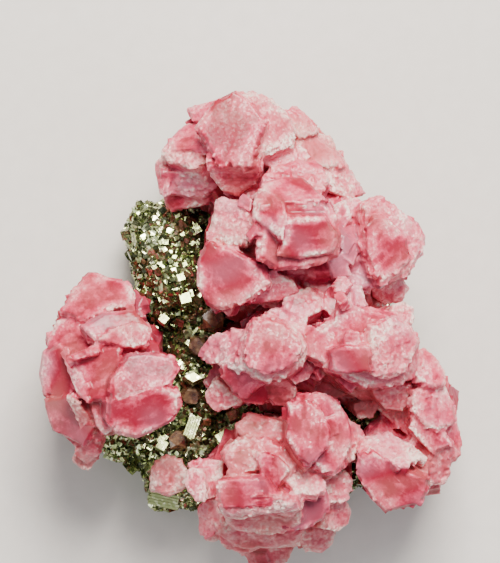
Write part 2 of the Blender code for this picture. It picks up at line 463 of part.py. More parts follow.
def rhomb_edges(axis, turn):
    """The three edge directions of a rhomb whose blunt corner looks along the axis."""
    away = math.acos(math.sqrt((1 + 2 * POLAR_COSINE) / 3))
    towards = Vector(axis).to_track_quat("Z", "Y").to_matrix()
    return [
        towards @ Vector((math.sin(away) * math.cos(turn + k * math.tau / 3),
                          math.sin(away) * math.sin(turn + k * math.tau / 3), math.cos(away)))
        for k in range(3)
    ]


def rhomb(middle, size, axis, turn, grow=0.0):
    bm = bmesh.new()
    bmesh.ops.create_cube(bm, size=size * MM)
    edges = rhomb_edges(axis, turn)
    bm.transform(Matrix(edges).transposed().to_4x4())
    bmesh.ops.translate(bm, verts=bm.verts, vec=Vector(middle) * MM)
    return to_object(bm, "rhomb", grow)


def core(low, high, outline, grow):
    """The domed body under a cluster."""
    middle = middle_of(outline)
    bm = bmesh.new()
    rings = []
    for level, share in CORE_PROFILE:
        places = [middle + (Vector(point) - middle) * share for point in outline]
        rings.append([bm.verts.new(Vector((*place, low + (high - low) * level)) * MM) for place in places])
    stack_rings(bm, rings)
    return to_object(bm, "core", grow)


def skirt_places(name):
    """Where rhombs grow out of a cluster's sides: the middle, the size, the axis and the turn of each."""
    low, high, outline = CORES[name]
    draw = random.Random(f"{name} {SKIRT_SEED}")
    middle = middle_of(outline)
    places = []
    for k, point in enumerate(outline):
        start, end = Vector(point), Vector(outline[(k + 1) % len(outline)])
        stops = max(1, round((end - start).length / SKIRT_SPACING))
        for stop in range(stops):
            size = draw.uniform(*SKIRT_SIZE)
            place = start.lerp(end, (stop + draw.uniform(0.3, 0.7)) / stops)
            out = (place - middle).normalized()
            upper = len(places) % 2
            place -= out * (size * 0.62 - upper)
            height = low + (high - low) * (0.62 if upper else 0.30) + draw.uniform(-1, 1)
            axis = (out.x, out.y, draw.uniform(0.4, 1.0) if upper else draw.uniform(-0.4, 0.1))
            places.append(((place.x, place.y, height), size, axis, draw.uniform(0, math.tau)))
    return places


def crystals_of(name, grow=0.0):
    """Every shape that a cluster is joined from."""
    middle = middle_of(CORES[name][-1] if name in CORES else CRYSTALS[name][0][-1])
    made = [face_crystal(middle, *row, grow) for row in CRYSTALS[name]]
    if name in CORES:
        made.insert(0, core(*CORES[name], grow))
        made += [rhomb(*place, grow) for place in skirt_places(name)]
    return made


def reach(obj, margin=SEAM):
    """The two far corners of an object's box."""
    corners = [vert.co for vert in obj.data.vertices]
    low = Vector(min(co[k] for co in corners) - margin for k in range(3))
    high = Vector(max(co[k] for co in corners) + margin for k in range(3))
    return low, high


def near(one, other):
    (low, high), (least, most) = reach(one), reach(other)
    return all(low[k] < most[k] and least[k] < high[k] for k in range(3))


def boolean(target, others, operation):
    """The target joined with or cut by the others, which are used up."""
    operands = bpy.data.collections.new("operands")
    for obj in others:
        if operation == "UNION" or near(target, obj):
            operands.objects.link(obj)
    modifier = target.modifiers.new("boolean", "BOOLEAN")
    modifier.operand_type = "COLLECTION"
    modifier.collection = operands
    modifier.operation = operation
    modifier.solver = "EXACT"
    graph = bpy.context.evaluated_depsgraph_get()
    mesh = bpy.data.meshes.new_from_object(target.evaluated_get(graph))
    target.modifiers.clear()
    target.data = mesh
    for obj in others:
        bpy.data.objects.remove(obj)
    bpy.data.collections.remove(operands)
    return target


def tidy(obj):
    """Joins the pieces of each flat face, and drops the crumbs that a cut leaves beside the main body."""
    bm = bmesh.new()
    bm.from_mesh(obj.data)
    bmesh.ops.dissolve_limit(bm, angle_limit=math.radians(FLAT_ANGLE), verts=bm.verts, edges=bm.edges)
    bmesh.ops.triangulate(bm, faces=bm.faces)
    left = set(bm.verts)
    bodies = []
    while left:
        body, front = set(), [left.pop()]
        while front:
            vert = front.pop()
            body.add(vert)
            joined = {edge.other_vert(vert) for edge in vert.link_edges} & left
            left -= joined
            front.extend(joined)
        bodies.append(body)
    bodies.sort(key=len)
    for body in bodies[:-1]:
        bmesh.ops.delete(bm, geom=list(body), context="VERTS")
    bm.to_mesh(obj.data)
    bm.free()


def finish(obj, name, mineral):
    tidy(obj)
    obj.name = name
    obj.data.name = name
    obj.data.materials.clear()
    obj.data.materials.append(mineral)


def lump(middle, halves, fineness=2):
    """A rounded lump of matrix with a rough, faceted surface."""
    bm = bmesh.new()
    bmesh.ops.create_icosphere(bm, subdivisions=fineness, radius=1.0)
    for vert in bm.verts:
        place = Vector(a * b for a, b in zip(vert.co, halves)) + Vector(middle)
        rough = noise.noise(place * 0.16) * 2.4 + noise.noise(place * 0.5) * 1.2
        vert.co = (place + vert.co.normalized() * rough) * MM
    return to_object(bm, "lump")


def plate():
    """The broken plate under the lumps, flat below and uneven round its side."""
    middle = middle_of(PLATE)
    bm = bmesh.new()
    rings = []
    for height, share in PLATE_LEVELS:
        ring = []
        for point in PLATE:
            place = Vector((*(middle + (Vector(point) - middle) * share), height))
            place.xy += (Vector(point) - middle).normalized() * noise.noise(place * 0.3) * 2.0
            place.z += noise.noise(place * 0.2) * 1.5 if height else 0
            ring.append(bm.verts.new(place * MM))
        rings.append(ring)
    stack_rings(bm, rings)
    return to_object(bm, "plate")


def cube(middle, edge, turns):
    bm = bmesh.new()
    bmesh.ops.create_cube(bm, size=edge * MM)
    about_x, about_y, spin = turns
    for turn, axis in ((spin, "Z"), (about_x, "X"), (about_y, "Y")):
        bm.transform(Matrix.Rotation(math.radians(turn), 4, axis))
    bmesh.ops.translate(bm, verts=bm.verts, vec=Vector(middle) * MM)
    return to_object(bm, "cube")


def bar(start, end, thickness):
    """A long pyrite crystal: a cube drawn out, with its corners cut."""
    start, end = Vector(start), Vector(end)
    bm = bmesh.new()
    bmesh.ops.create_cube(bm, size=MM)
    bmesh.ops.scale(bm, vec=(thickness, thickness * 0.8, (end - start).length), verts=bm.verts)
    bmesh.ops.bevel(bm, geom=bm.edges, offset=0.22 * thickness * MM, segments=1, profile=0.5,
                    affect="EDGES", material=-1)
    bm.transform((end - start).to_track_quat("Z", "Y").to_matrix().to_4x4())
    bmesh.ops.translate(bm, verts=bm.verts, vec=(start + end) / 2 * MM)
    return to_object(bm, "bar")


def sphalerite(middle, size, grow=0.0):
    """A stubby crystal: a cube with its corners deeply cut."""
    bm = bmesh.new()
    bmesh.ops.create_cube(bm, size=size * 0.8 * MM)
    bmesh.ops.bevel(bm, geom=bm.verts, offset=size * 0.34 * MM, segments=1, profile=0.5,
                    affect="VERTICES", material=-1)
    bm.transform(Matrix.Rotation(middle[0], 4, "X") @ Matrix.Rotation(middle[1], 4, "Y"))
    bmesh.ops.translate(bm, verts=bm.verts, vec=Vector(middle) * MM)
    return to_object(bm, "sphalerite", grow)


def floor_cutter(halves):
    """A block whose top is the flat surface that the matrix was broken off along."""
    bm = bmesh.new()
    bmesh.ops.create_cube(bm, size=2 * MM)
    bmesh.ops.scale(bm, vec=halves, verts=bm.verts)
    bmesh.ops.translate(bm, verts=bm.verts, vec=(0, 0, -halves[2] * MM))
    return to_object(bm, "floor")


CLUSTERS = {
    "rhodochrosite_cluster": ("crown", "heart", "girdle", "flank", "foot"),
    "rhodochrosite_rosette": ("rosette",),
    "rhodochrosite_lone_crystal": ("lone",),
}


def sockets(names):
    """The named clusters' shapes, larger by the seam, for cutting what stands beside them."""
    return [shape for name in names for group in CLUSTERS[name] for shape in crystals_of(group, SEAM)]


def rhodochrosite_clusters(mineral):
    """Each cluster joined in one solid, and cut back from those before it. Gives their names."""
    done = []
    for name, groups in CLUSTERS.items():
        shapes = [shape for group in groups for shape in crystals_of(group)]
        cluster = shapes[0]
        if len(shapes) > 1:
            boolean(cluster, shapes[1:], "UNION")
        if done:
            boolean(cluster, sockets(done), "DIFFERENCE")
        finish(cluster, name, mineral)
        done.append(name)
    return done


def main():
    clear_scene()
    clusters = rhodochrosite_clusters(material("rhodochrosite"))

    brown = material("sphalerite")
    for number, (middle, size) in enumerate(SPHALERITE, 1):
        crystal = boolean(sphalerite(middle, size), sockets(clusters), "DIFFERENCE")
        finish(crystal, f"sphalerite_crystal_{number}", brown)

    pyrite = [lump(*row) for row in LUMPS] + [cube(*row) for row in CUBES] + [bar(*row) for row in BARS]
    matrix = boolean(plate(), pyrite, "UNION")
    around = sockets(clusters) + [sphalerite(*row, SEAM) for row in SPHALERITE]
    boolean(matrix, around + [floor_cutter((60, 60, 20))], "DIFFERENCE")
    finish(matrix, "pyrite_matrix", material("pyrite"))


main()
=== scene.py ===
import json
import math
import random

import bmesh
import bpy
import numpy as np
from mathutils import Matrix, Vector
from mathutils.bvhtree import BVHTree

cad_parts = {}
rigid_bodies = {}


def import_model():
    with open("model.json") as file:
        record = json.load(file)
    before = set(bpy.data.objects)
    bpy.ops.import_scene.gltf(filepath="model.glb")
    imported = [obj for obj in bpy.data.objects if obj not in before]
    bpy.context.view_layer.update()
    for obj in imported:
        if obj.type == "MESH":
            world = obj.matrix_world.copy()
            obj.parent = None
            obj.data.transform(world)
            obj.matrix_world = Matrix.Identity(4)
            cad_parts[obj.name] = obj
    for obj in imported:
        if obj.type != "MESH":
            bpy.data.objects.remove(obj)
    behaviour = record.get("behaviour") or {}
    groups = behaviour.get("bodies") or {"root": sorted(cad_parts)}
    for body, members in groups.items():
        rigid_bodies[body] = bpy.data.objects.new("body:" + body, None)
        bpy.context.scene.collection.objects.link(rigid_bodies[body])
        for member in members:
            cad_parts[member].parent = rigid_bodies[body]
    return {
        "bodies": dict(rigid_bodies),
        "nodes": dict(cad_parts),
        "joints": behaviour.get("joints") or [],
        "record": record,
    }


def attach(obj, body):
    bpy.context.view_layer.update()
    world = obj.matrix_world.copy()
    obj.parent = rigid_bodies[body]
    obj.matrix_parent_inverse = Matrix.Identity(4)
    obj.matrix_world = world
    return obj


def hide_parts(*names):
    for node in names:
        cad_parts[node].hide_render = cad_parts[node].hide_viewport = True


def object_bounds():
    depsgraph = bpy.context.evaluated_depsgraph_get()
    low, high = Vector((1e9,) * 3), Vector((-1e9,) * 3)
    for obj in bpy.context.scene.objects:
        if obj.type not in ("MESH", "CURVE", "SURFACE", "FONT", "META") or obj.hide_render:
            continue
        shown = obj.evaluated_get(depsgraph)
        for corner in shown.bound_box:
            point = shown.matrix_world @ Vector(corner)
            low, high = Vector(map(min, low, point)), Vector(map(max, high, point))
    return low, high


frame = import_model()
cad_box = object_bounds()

# ---- Rhodochrosite crystals ----------------------------------------------------------------------------
# Rose-pink manganese carbonate, grown out of hot water in thick rhombs that crowd together like the petals
# of a rose. The crystals are grown onto the matrix and through one another. Light gets a few millimetres
# into them, their faces are stepped, and their edges are frosted with much smaller crystals.
MM = 0.001                   # sizes are in millimetres, and the frame is in metres
MIDDLE = Vector((0.3, -0.9, 0.0))    # of the specimen's box, in the tables' x and y
FAR = 60.0                   # higher and wider than the specimen, where a ray starts to look for its surface
POLAR_COSINE = -0.2262       # of the 103.1 degrees between a rhodochrosite rhomb's edges
SKIRT_SPACING = 7.5          # along the side of a cluster, between the rhombs that grow out of it
SKIRT_SIZE = (6.5, 9.5)
SKIRT_LEVELS = (0.30, 0.62)  # of the height of the cluster's body, where its two rows of rhombs are
SKIRT_RISES = ((-0.4, 0.1), (0.4, 1.0))      # how far the rhombs of each row look up
SKIRT_SUNK = 0.62            # of a rhomb's size, that its middle lies inside the outline
SKIRT_SEED = 7
FACE_SHARE = 0.88            # of a crystal's outline, that its front face keeps inside the bevel round it
BEVELLED_FROM = 3.2          # a crystal's half width, from which its face has a bevel round it
BEVEL_DROP = 0.16            # of a crystal's half width, from its front face down to its belt
ROOT_SHARE = 0.80            # of a crystal's outline, at its root
ROOT_PULL = 0.35             # of the way to the middle of its group, that a crystal's root lies from it
SKIN_VOXEL = 0.24            # between the points of the clusters' skins
FACES_KEPT = 0.57            # of each skin's triangles
FACING_UP = 0.2              # the least rise of the normal where a skin keeps all of its triangles
TOOTH_SPACING = 1.0          # along the edge of a face, between the small rhombs that make it jagged
TOOTH_SIZE = (0.5, 1.8)
TOOTH_INSET = (0.35, 0.7)    # of a tooth's size, that its middle lies inside the edge
STEPS_PER_FACE = 20          # on a fully frosted face 10 across, with fewer on a small one
STEP_SIZE = (0.15, 0.6)      # of the crystal's half width
STEP_RISE = (0.05, 0.3)
STEP_DEPTH = 1.5
STEPPED_FROM = 0.38          # how frosted a face must be to have steps
SUGAR_DENSITY = 14.0         # of the fine crystals on a frosted face
SUGAR_SIZE = (0.4, 0.75)
SUGAR_LEAN = 0.35            # how unevenly they stand, and how unevenly they are turned, in radians
SUGAR_TURN = 0.3
SUGAR_SUNK = 0.25            # of a fine crystal's size, that its middle lies under the face
SUGARED_FROM = 0.48          # the frosting from which a face carries fine crystals
COMPANY_SIZE = (1.6, 3.6)    # of the crystals that fill the hollows between the large ones
COMPANY_SPACING = 2.4
COMPANY_LEAN = 0.22          # how unevenly they are turned, in radians
COMPANY_STRETCH = (0.8, 1.5)         # of their sizes along their two longer edges
COMPANY_SUNK = {"above": (0.15, 0.4), "aside": (0.3, 0.5)}   # of their size, under the surface
LAYER = 0.85                 # thickness of the growth layers that show on the sides, and their relief
LAYER_RISE = 0.06
BAND = 0.7                   # width of the paler and deeper bands that follow a front face's outline
BLOCK = (2.6, 0.9, 1.2)      # of the long blocks that a front face is made of, and their relief
BLOCK_RISE = 0.012
GRAINS = (1.5, 0.75)         # coarse and fine, all over a crystal
SWELL = 5.0                  # from one place where all of this is stronger to the next
RIM_WIDTH = (1.8, 4.2)       # of the frosted rim of a front face, and how frosted it is
RIM_FROST = (0.25, 0.60)
CREASE_ANGLE = 26            # from which an edge is shaded as a sharp one, in degrees

# How much each thing pales a place, or deepens it where it is less than 0. A place is fully deep at 0 and
# fully frosted at 1.
BARE, FROSTED = -0.16, 0.85
BANDED, BLOCKED = 0.06, 0.11
# Outer edges pale partly for their frosting, partly as a painted highlight; creases deepen as painted shade.
FROST_AND_PAINTED_HIGHLIGHT_ON_EDGES, PAINTED_SHADE_IN_CREASES = 0.28, 0.20
SWELLED, GRAINED, FINE_GRAINED = 0.14, 0.05, 0.06
# Painted shade: the sides deepen the further they lie under the front faces.
PAINTED_SHADE_DOWN_THE_SIDES = -0.28

# A cluster's body from its top to its underside: the share of its height, and of its outline.
CORE_PROFILE = ((1.0, 0.45), (0.78, 0.80), (0.45, 0.95), (0.0, 0.60))

# Each crystal with a clear front face: the height of the middle of the face, how the face leans in x and y
# (a rise of its normal for each unit of height), where the root lies from the face in x and y, the depth
# from face to root, how frosted it is from 0 to 1, its tone from lilac at -1 to brown at 1, and the face's
# outline as points in x and y.
CRYSTALS = {"crown": [
    (37, (-0.1, 0.2), (1, -4.5), 10, 0.12, 0, [
        (-9.8, 35.8), (-6.4, 40.4), (-2.4, 42.5), (0.4, 40.6), (3.1, 36.9), (0.3, 28.9), (-5.4, 28.7)]),
    (34, (0.4, 0.2), (0, -5), 12, 0.62, 0.25, [
        (-4.3, 40.7), (0.1, 42.3), (3.6, 41.3), (6.5, 38.8), (8.4, 35.5), (7.9, 32.4), (1.5, 30.4)]),
    (31, (-0.3, 0.4), (1, -2), 9, 0.5, 0, [
        (-11.3, 39.5), (-6.5, 40.9), (-4.2, 41.6), (-3.5, 37.3), (-7.9, 36.6), (-10.2, 37.2)]),
    (31, (-0.4, 0.7), (1, -1), 9, 0.45, 0, [
        (-15.4, 32.5), (-12.8, 35.6), (-10.8, 37), (-8.5, 35.9), (-7.5, 31.9), (-15.1, 31.8)]),
    (32, (-0.15, 0.3), (1, -6.5), 9, 0.8, 0.2, [
        (-15.9, 32), (-8.4, 31.8), (-7.7, 30.1), (-9.2, 28.5), (-12, 29.1), (-15.6, 30.5)]),
    (28, (-0.75, 0), (2, 0), 9, 0.75, 0, [
        (-16.9, 30), (-15.5, 31.2), (-14.6, 27.6), (-14.6, 24), (-15.5, 23.5), (-16.4, 25.8)]),
    (25, (0, -0.6), (0, 1), 8, 0.5, 0.1, [
        (-15.6, 24.6), (-6.2, 25), (-6.8, 22.9), (-8.9, 22), (-14.3, 21.3), (-15.4, 22.7)]),
    (29, (0.3, 0.5), (-1, -2), 11, 0.8, 0.5, [
        (6, 38.9), (8.3, 40), (9.8, 38.9), (12.1, 36.6), (12.1, 35.1), (9, 34.2), (7.2, 36)]),
    (27, (0.45, 0.45), (-1, -2), 11, 0.85, 0.7, [
        (11.9, 35.4), (14.8, 34.7), (15.7, 32), (13.5, 30.3), (9.9, 33)]),
    (29, (0.4, 0.45), (0, -2), 11, 0.45, 0.5, [
        (8.1, 35.1), (12.3, 34.4), (15.7, 31.7), (17.4, 29.2), (12.6, 28.8), (8.7, 30.2)]),
    (27, (0.7, 0.2), (-2, -2), 11, 0.75, 0.3, [
        (14.4, 32.1), (15.9, 31.8), (18.4, 28.2), (21, 24.3), (18, 23.2), (15.9, 24), (13, 26.7)]),
    (28, (-0.15, 0), (0, 0), 9, 0.5, 0.3, [
        (-1, 28.9), (2.2, 30.8), (4.7, 29.6), (3.7, 26.4), (0.8, 24.4), (-1.2, 26.4)]),
    (31, (0.15, 0.45), (0, 0), 10, 0.75, 0, [
        (1.9, 31.6), (6.2, 34), (9, 33.1), (11, 30.7), (6.9, 28.8), (2.9, 29.1)]),
    (34.6, (0.1, -0.9), (0, 3), 9, 0.5, 0.2, [
        (-7.5, 29.6), (-3.4, 28.6), (2.4, 28.8), (1.5, 26.4), (-2.2, 23.6), (-4.9, 24.6), (-6.8, 27.1)]),
    (28.2, (-0.1, -0.7), (0, 2), 9, 0.6, -0.2, [
        (-15.8, 28.5), (-12.1, 28.1), (-8.5, 28.3), (-6.2, 25.6), (-7.6, 23.5), (-11.6, 23.7), (-15, 24.2),
        (-16.2, 26.4)]),
], "heart": [
    (34, (0.1, 0.5), (0, -3), 12, 0.55, 0, [
        (2.2, 26.3), (3.6, 28.7), (8.6, 30.3), (12.5, 29.6), (14.3, 26.5), (12.5, 24), (7.2, 25.6)]),
    (43, (0.15, -0.2), (-1, 4.5), 12, 0.08, 0, [
        (6.5, 19.8), (13.4, 20), (15.5, 15.8), (14.6, 13.4), (8.8, 12.5), (4.8, 13), (6, 16.1)]),
    (41, (0.1, 0), (0, 0), 12, 0.35, 0, [
        (2.2, 21.9), (5.9, 22.5), (13.8, 22.8), (15.2, 20.2), (16.2, 15.8), (15.7, 13), (12.4, 11.4),
        (8.8, 10.7), (4.6, 10.4), (1.1, 12.7)]),
    (42, (-0.5, 0.4), (0, -5), 12, 0.15, 0, [
        (0.4, 19.7), (0.8, 24.1), (3.2, 25.1), (6.2, 22.1), (6.7, 18.9), (5.8, 15.8)]),
    (40, (0, 0.75), (0, -3), 12, 0.22, 0, [
        (1.5, 24.6), (2.4, 26), (5.5, 26.9), (9.4, 26.9), (12, 24.4), (13.9, 22.7), (6, 22.1)]),
    (36, (-0.4, 0.15), (-1, -1), 12, 0.85, 0, [
        (-6.1, 23), (-4.5, 23.5), (-1.1, 22.4), (0.4, 19.8), (-0.3, 15.5), (-2.6, 14.8), (-7.7, 16.1),
        (-6.5, 20.1)]),
    (37, (-0.15, 0.45), (0, -1), 8, 0.4, 0, [
        (-1.7, 23.6), (-1.1, 24.2), (0.6, 22.9), (0.1, 20.8), (-2, 22)]),
    (38, (-0.2, 0), (0.5, -1), 14, 0.22, 0, [
        (-7.7, 15.7), (-3.1, 14.4), (2.6, 11.1), (3.8, 7.9), (0.4, 5.3), (-4.8, 3.4), (-7.5, 4.2),
        (-9.4, 7.8), (-9.3, 12)]),
    (36, (0.1, -0.5), (0, -1), 12, 0.5, 0, [
        (-0.6, 9.2), (4.5, 10.2), (7.7, 8.8), (8.8, 6.7), (6.3, 5.3), (0.1, 4.6), (-2.4, 5.6)]),
    (34, (0.2, 0), (0, -1), 9, 0.3, 0, [
        (21.7, 20.5), (24, 20.3), (28, 16.4), (28.3, 12), (24, 8.1), (22.1, 10.1), (20.6, 14.1),
        (20.5, 17.7)]),
    (32, (0.25, 0.1), (-1, -1), 13, 0.62, 0, [
        (20, 21.8), (21.8, 23.6), (24.5, 23.1), (27.5, 20.9), (30.4, 18.8), (31.6, 16.5), (30.5, 13.1),
        (28.7, 10.1), (24.1, 7.8), (21.6, 9.7), (20.2, 14.1)]),
    (29, (0, 0.3), (0, -1), 9, 0.4, 0, [
        (16.7, 22.9), (19.2, 23.8), (21, 22.2), (20.1, 20.4), (18, 20.1)]),
    (31, (-0.15, 0.15), (0, -1), 9, 0.45, -0.3, [
        (14.9, 22.2), (17, 23.3), (18.1, 20.6), (17.2, 18.3), (15.6, 19.9)]),
    (31, (0.15, 0.3), (0, -1), 9, 0.45, -0.4, [
        (16.5, 16.8), (18.1, 17.7), (19.3, 15.2), (18.3, 13.8), (16.5, 14.3)]),
    (30, (0.15, 0.3), (0, -1), 9, 0.4, -0.4, [
        (19.5, 16), (21.2, 17), (22, 14.5), (20.4, 12.9)]),
    (31, (0, 0.15), (0, -2), 12, 0.4, -0.5, [
        (15.2, 12), (19.3, 13.5), (23.1, 10.4), (22.2, 7.7), (18.8, 6.9), (15.8, 8.6)]),
    (25, (0.3, -0.3), (0, 0), 9, 0.6, 0, [
        (21.7, 8.5), (24.6, 7.6), (27.6, 9.5), (28.6, 7), (27.5, 4.7), (24.4, 4.5), (22.4, 5.6)]),
    (30, (0, -0.15), (0, 0), 11, 0.25, 0.2, [
        (1.2, 7.7), (4.5, 11.7), (9, 11), (11.5, 8.5), (10.1, 4.5), (5.8, 2.9), (2.2, 4.2)]),
    (31, (0.15, 0.15), (0, 0), 11, 0.4, 0, [
        (8.6, 9.9), (12.6, 11.8), (15.8, 10.8), (17.2, 8.1), (14.5, 5.8), (10.1, 6.5)]),
], "girdle": [
    (40, (0, 0), (0, -1), 9, 0.45, 0, [
        (0.4, 1.4), (3.2, 2.3), (5.9, 1.3), (9, -1.7), (9.2, -4.2), (7.1, -6.6), (3.2, -7.9), (-0.1, -6.3),
        (-1, -2.8)]),
    (38, (0, -0.1), (0, -1.5), 12, 0.7, 0, [
        (0.6, 2.1), (3.3, 2.8), (6.3, 1.8), (9.4, -0.7), (10.5, -3.2), (9.4, -6.3), (7.1, -8.3), (2.6, -9.2),
        (-2.4, -6.7), (-1.7, -1.8)]),
    (34, (-0.6, 0), (1, 0), 11, 0.72, -0.4, [
        (-9, -4.2), (-6.7, -0.8), (-4.3, -0.6), (-3.4, -2.9), (-4.9, -5.9), (-7.7, -6.1)]),
    (36, (-0.45, 0.15), (1, 0), 11, 0.6, -0.3, [
        (-4.9, -5.7), (-3.6, -1.4), (-3.3, 0.5), (-0.8, -0.5), (1.1, 0), (0.1, -5.7), (-2, -7.8)]),
    (35, (-0.3, -0.5), (1, 1), 11, 0.35, 0, [
        (-5.2, -5.7), (-2.4, -3.9), (0.4, -6.7), (2.6, -9.4), (-0.6, -12.3), (-3.1, -10.9), (-5, -8.4)]),
    (32, (0, -0.6), (0, 2), 11, 0.15, 0, [
        (-2, -8.6), (2.6, -9.1), (3.6, -11.3), (2.4, -13.5), (-1, -13.1), (-3.5, -11.1)]),
    (35, (0.15, 0.45), (0, -2), 12, 0.5, 0, [
        (6.1, 6.5), (10.7, 7.6), (13, 5.6), (12.7, 3.3), (9.3, 1.7), (5.7, 3.7)]),
    (36, (0, 0.3), (0, -2), 12, 0.55, 0, [
        (3.3, 3.3), (8.2, 4.7), (10.3, 2.1), (10, -1.1), (6.4, 1)]),
    (29, (-0.15, -0.15), (0, 0), 8, 0.75, 0.2, [
        (-8, -11.2), (-6.3, -9.2), (-4, -10.5), (-1.5, -13), (-3.8, -14.2), (-6.4, -14.6), (-7.8, -13.2)]),
    (33, (0.45, -0.3), (-1, 1), 11, 0.4, 0, [
        (7.2, -5.7), (9.1, -4.7), (11.5, -7), (10.6, -8.8), (8.1, -9.8), (6.5, -8)]),
    (31, (0.15, -0.6), (0, 1), 11, 0.45, 0.3, [
        (1.9, -9.7), (6.7, -9), (8.5, -11), (7.4, -13.9), (4.6, -13.5)]),
    (36, (0.1, 0), (0, -2), 13, 0.5, 0, [
        (10, -1.1), (14.2, 2.1), (20.9, 4.2), (26.3, 3), (28.7, 0.7), (30.3, -1.8), (29.8, -7.3), (27, -9.9),
        (21.3, -10.4), (14.7, -7.6), (11, -4.6)]),
    (38, (0.3, 0), (-1, -1), 12, 0.7, 0, [
        (20.8, -0.3), (25.1, 2.3), (28.5, 0.4), (30.1, -1.9), (29.2, -4.1), (27.2, -7.7), (23.7, -8.6),
        (21.2, -6)]),
    (40, (-0.1, -0.1), (0.5, 1), 9, 0.2, 0, [
        (14, -3.6), (15.9, -2.9), (20.8, -2.6), (21.5, -4.2), (21.1, -7.3), (16.9, -7.7), (14.7, -7.2)]),
    (39.5, (0, 0.15), (0, 0), 8, 0.55, 0, [
        (16.4, -1.4), (17.5, 0), (19.2, -0.1), (19.6, -1.9), (18.7, -2.6), (16.8, -2.4)]),
    (34, (0, 0.4), (0, -2), 12, 0.45, 0, [
        (13, 4.2), (13.9, 7.4), (16.6, 8.6), (18.2, 6.9), (18.2, 3.1), (15.3, 1.7)]),
    (33, (0.2, 0.3), (0, -2), 12, 0.4, -0.2, [
        (17.9, 8.1), (20, 7.8), (20.9, 4.4), (18.5, 2.8)]),
    (35, (0, 0.45), (0, -1), 9, 0.45, 0, [
        (14.6, 8.1), (15.7, 9.5), (17.3, 9.5), (18.3, 8.1), (16.9, 6.5), (14.9, 6.7)]),
    (29, (0.45, 0.3), (-1, -1), 9, 0.75, 0, [
        (25.6, 4.4), (27.6, 5.1), (29.6, 3.8), (29.2, 1.1), (27.2, 1), (25.3, 2.4)]),
    (28, (0, -0.9), (0, 3), 9, 0.35, 0.5, [
        (13.5, -7.8), (18, -8.7), (21.9, -10.5), (24, -12.2), (20.2, -12.9), (15.3, -10.5)]),
    (29, (0.2, -0.4), (0, 1), 9, 0.6, 0.2, [
        (21.9, -11.2), (26.9, -9.8), (29.2, -10.1), (29.4, -12.7), (27.5, -14.8), (24.2, -14.3)]),
    (24, (0.15, 0), (0, 0), 8, 0.55, 0.6, [
        (18.8, -13.5), (22.1, -12.3), (24.1, -13.5), (22.1, -16.1), (19.4, -16.2)]),
    (22, (0, 0.15), (0, 0), 8, 0.45, 0.6, [
        (10.6, -8.2), (14.6, -6.7), (18.5, -9.3), (22.2, -12.7), (17.3, -12.9), (11.8, -10.7)]),
    (33, (0, 0.3), (0, 0), 9, 0.5, 0, [
        (9.5, 5.3), (10, 6.9), (11.8, 7.6), (13.4, 6.5), (13.4, 4.6), (11.6, 3.1), (10, 3.7)]),
], "flank": [
    (30, (0.4, 0.5), (-1, -2), 11, 0.7, 0.1, [
        (29.4, -4), (31.2, -3.2), (33, -4.6), (35.1, -7.6), (34.9, -10.1), (31.8, -10.4), (29.1, -7.9)]),
    (30, (0.45, 0.15), (-1, -1), 11, 0.6, 0, [
        (29, -10.8), (31.9, -9.6), (35.1, -10.1), (36.4, -13.2), (37.1, -16.6), (34, -18.3), (31.1, -17.2),
        (28.9, -14.7)]),
    (30, (0.15, -0.15), (0, 0), 11, 0.4, 0.2, [
        (28.8, -14.7), (31.3, -14), (34.4, -17.1), (36.2, -20.8), (32.8, -22.3), (30.3, -19.9),
        (28.6, -17.6)]),
    (26, (0.75, 0.1), (-2, 0), 10, 0.5, 0, [
        (35.1, -11.3), (36.6, -13.3), (37.9, -18.7), (38, -22.3), (35.6, -23.1), (34.2, -18.1)]),
    (27, (0.45, -0.3), (-1, 1), 11, 0.6, 0.3, [
        (32.3, -21.3), (35.9, -20.2), (38.2, -22.4), (36.2, -24), (35.5, -27.8), (32.4, -28.1),
        (31.6, -24.5)]),
    (32, (0, -0.2), (0.5, 4.5), 12, 0.12, 0, [
        (19.3, -22.5), (21.8, -21.2), (26.8, -24.6), (31.9, -26.4), (31.8, -29.1), (30.5, -31.2),
        (27.7, -31.8), (24.1, -32.7), (21.6, -30.2), (18.9, -25.7)]),
    (31, (0.1, 0.9), (0, 0), 9, 0.8, 0, [
        (19, -21.5), (20.1, -19.4), (24, -18.3), (28.3, -20.3), (31.8, -23), (27.1, -24.4), (22.2, -21.3)]),
], "foot": [
    (37, (-0.1, 0.1), (-0.5, -1.5), 11, 0.22, 0, [
        (6.8, -12.9), (10.9, -12.4), (13, -14.5), (14.4, -17.6), (14, -20.5), (10.5, -24.3), (8.2, -22.1),
        (6.6, -19.4)]),
    (34, (0.2, 0), (0, -1), 12, 0.45, 0, [
        (8.1, -11.7), (13.4, -11.2), (15.5, -12.5), (17.3, -15), (18.2, -17.8), (18.2, -20.8), (16.8, -24.2),
        (15, -26.1), (11.8, -24.8), (8.9, -19.5)]),
    (30, (0.6, 0), (-2, 0), 11, 0.6, 0, [
        (17, -15.8), (19.4, -17.1), (21, -19.3), (20.1, -21.4), (17.9, -23.8), (16.3, -25.2),
        (16.7, -19.7)]),
    (30, (-0.1, 0.5), (0, -1), 11, 0.45, 0.5, [
        (-2.8, -17.1), (0.1, -15.1), (3.3, -15.7), (6.7, -16.7), (7.2, -19.2), (5.4, -20.2), (1.9, -19.4),
        (-1.7, -19)]),
    (33, (-0.1, 0.15), (0, -2), 12, 0.5, 0.4, [
        (-5.4, -21.9), (-2, -19.1), (2.8, -19.1), (7.2, -21.4), (9, -23.8), (7.9, -25.6), (4.9, -28.6),
        (2.2, -27.7), (-2, -26)]),
    (35, (-0.15, 0), (0, -1), 8, 0.65, 0.5, [
        (-4.5, -22.4), (-0.4, -20.7), (1.7, -21.8), (1, -24.8), (-3.5, -25.7)]),
    (35.5, (0.15, -0.15), (0, 0), 8, 0.4, 0, [
        (1.2, -21.6), (4.9, -22.3), (7.3, -24.8), (4.9, -28.2), (2.2, -26.6)]),
    (37, (0, -0.1), (0.5, 1), 12, 0.35, 0, [
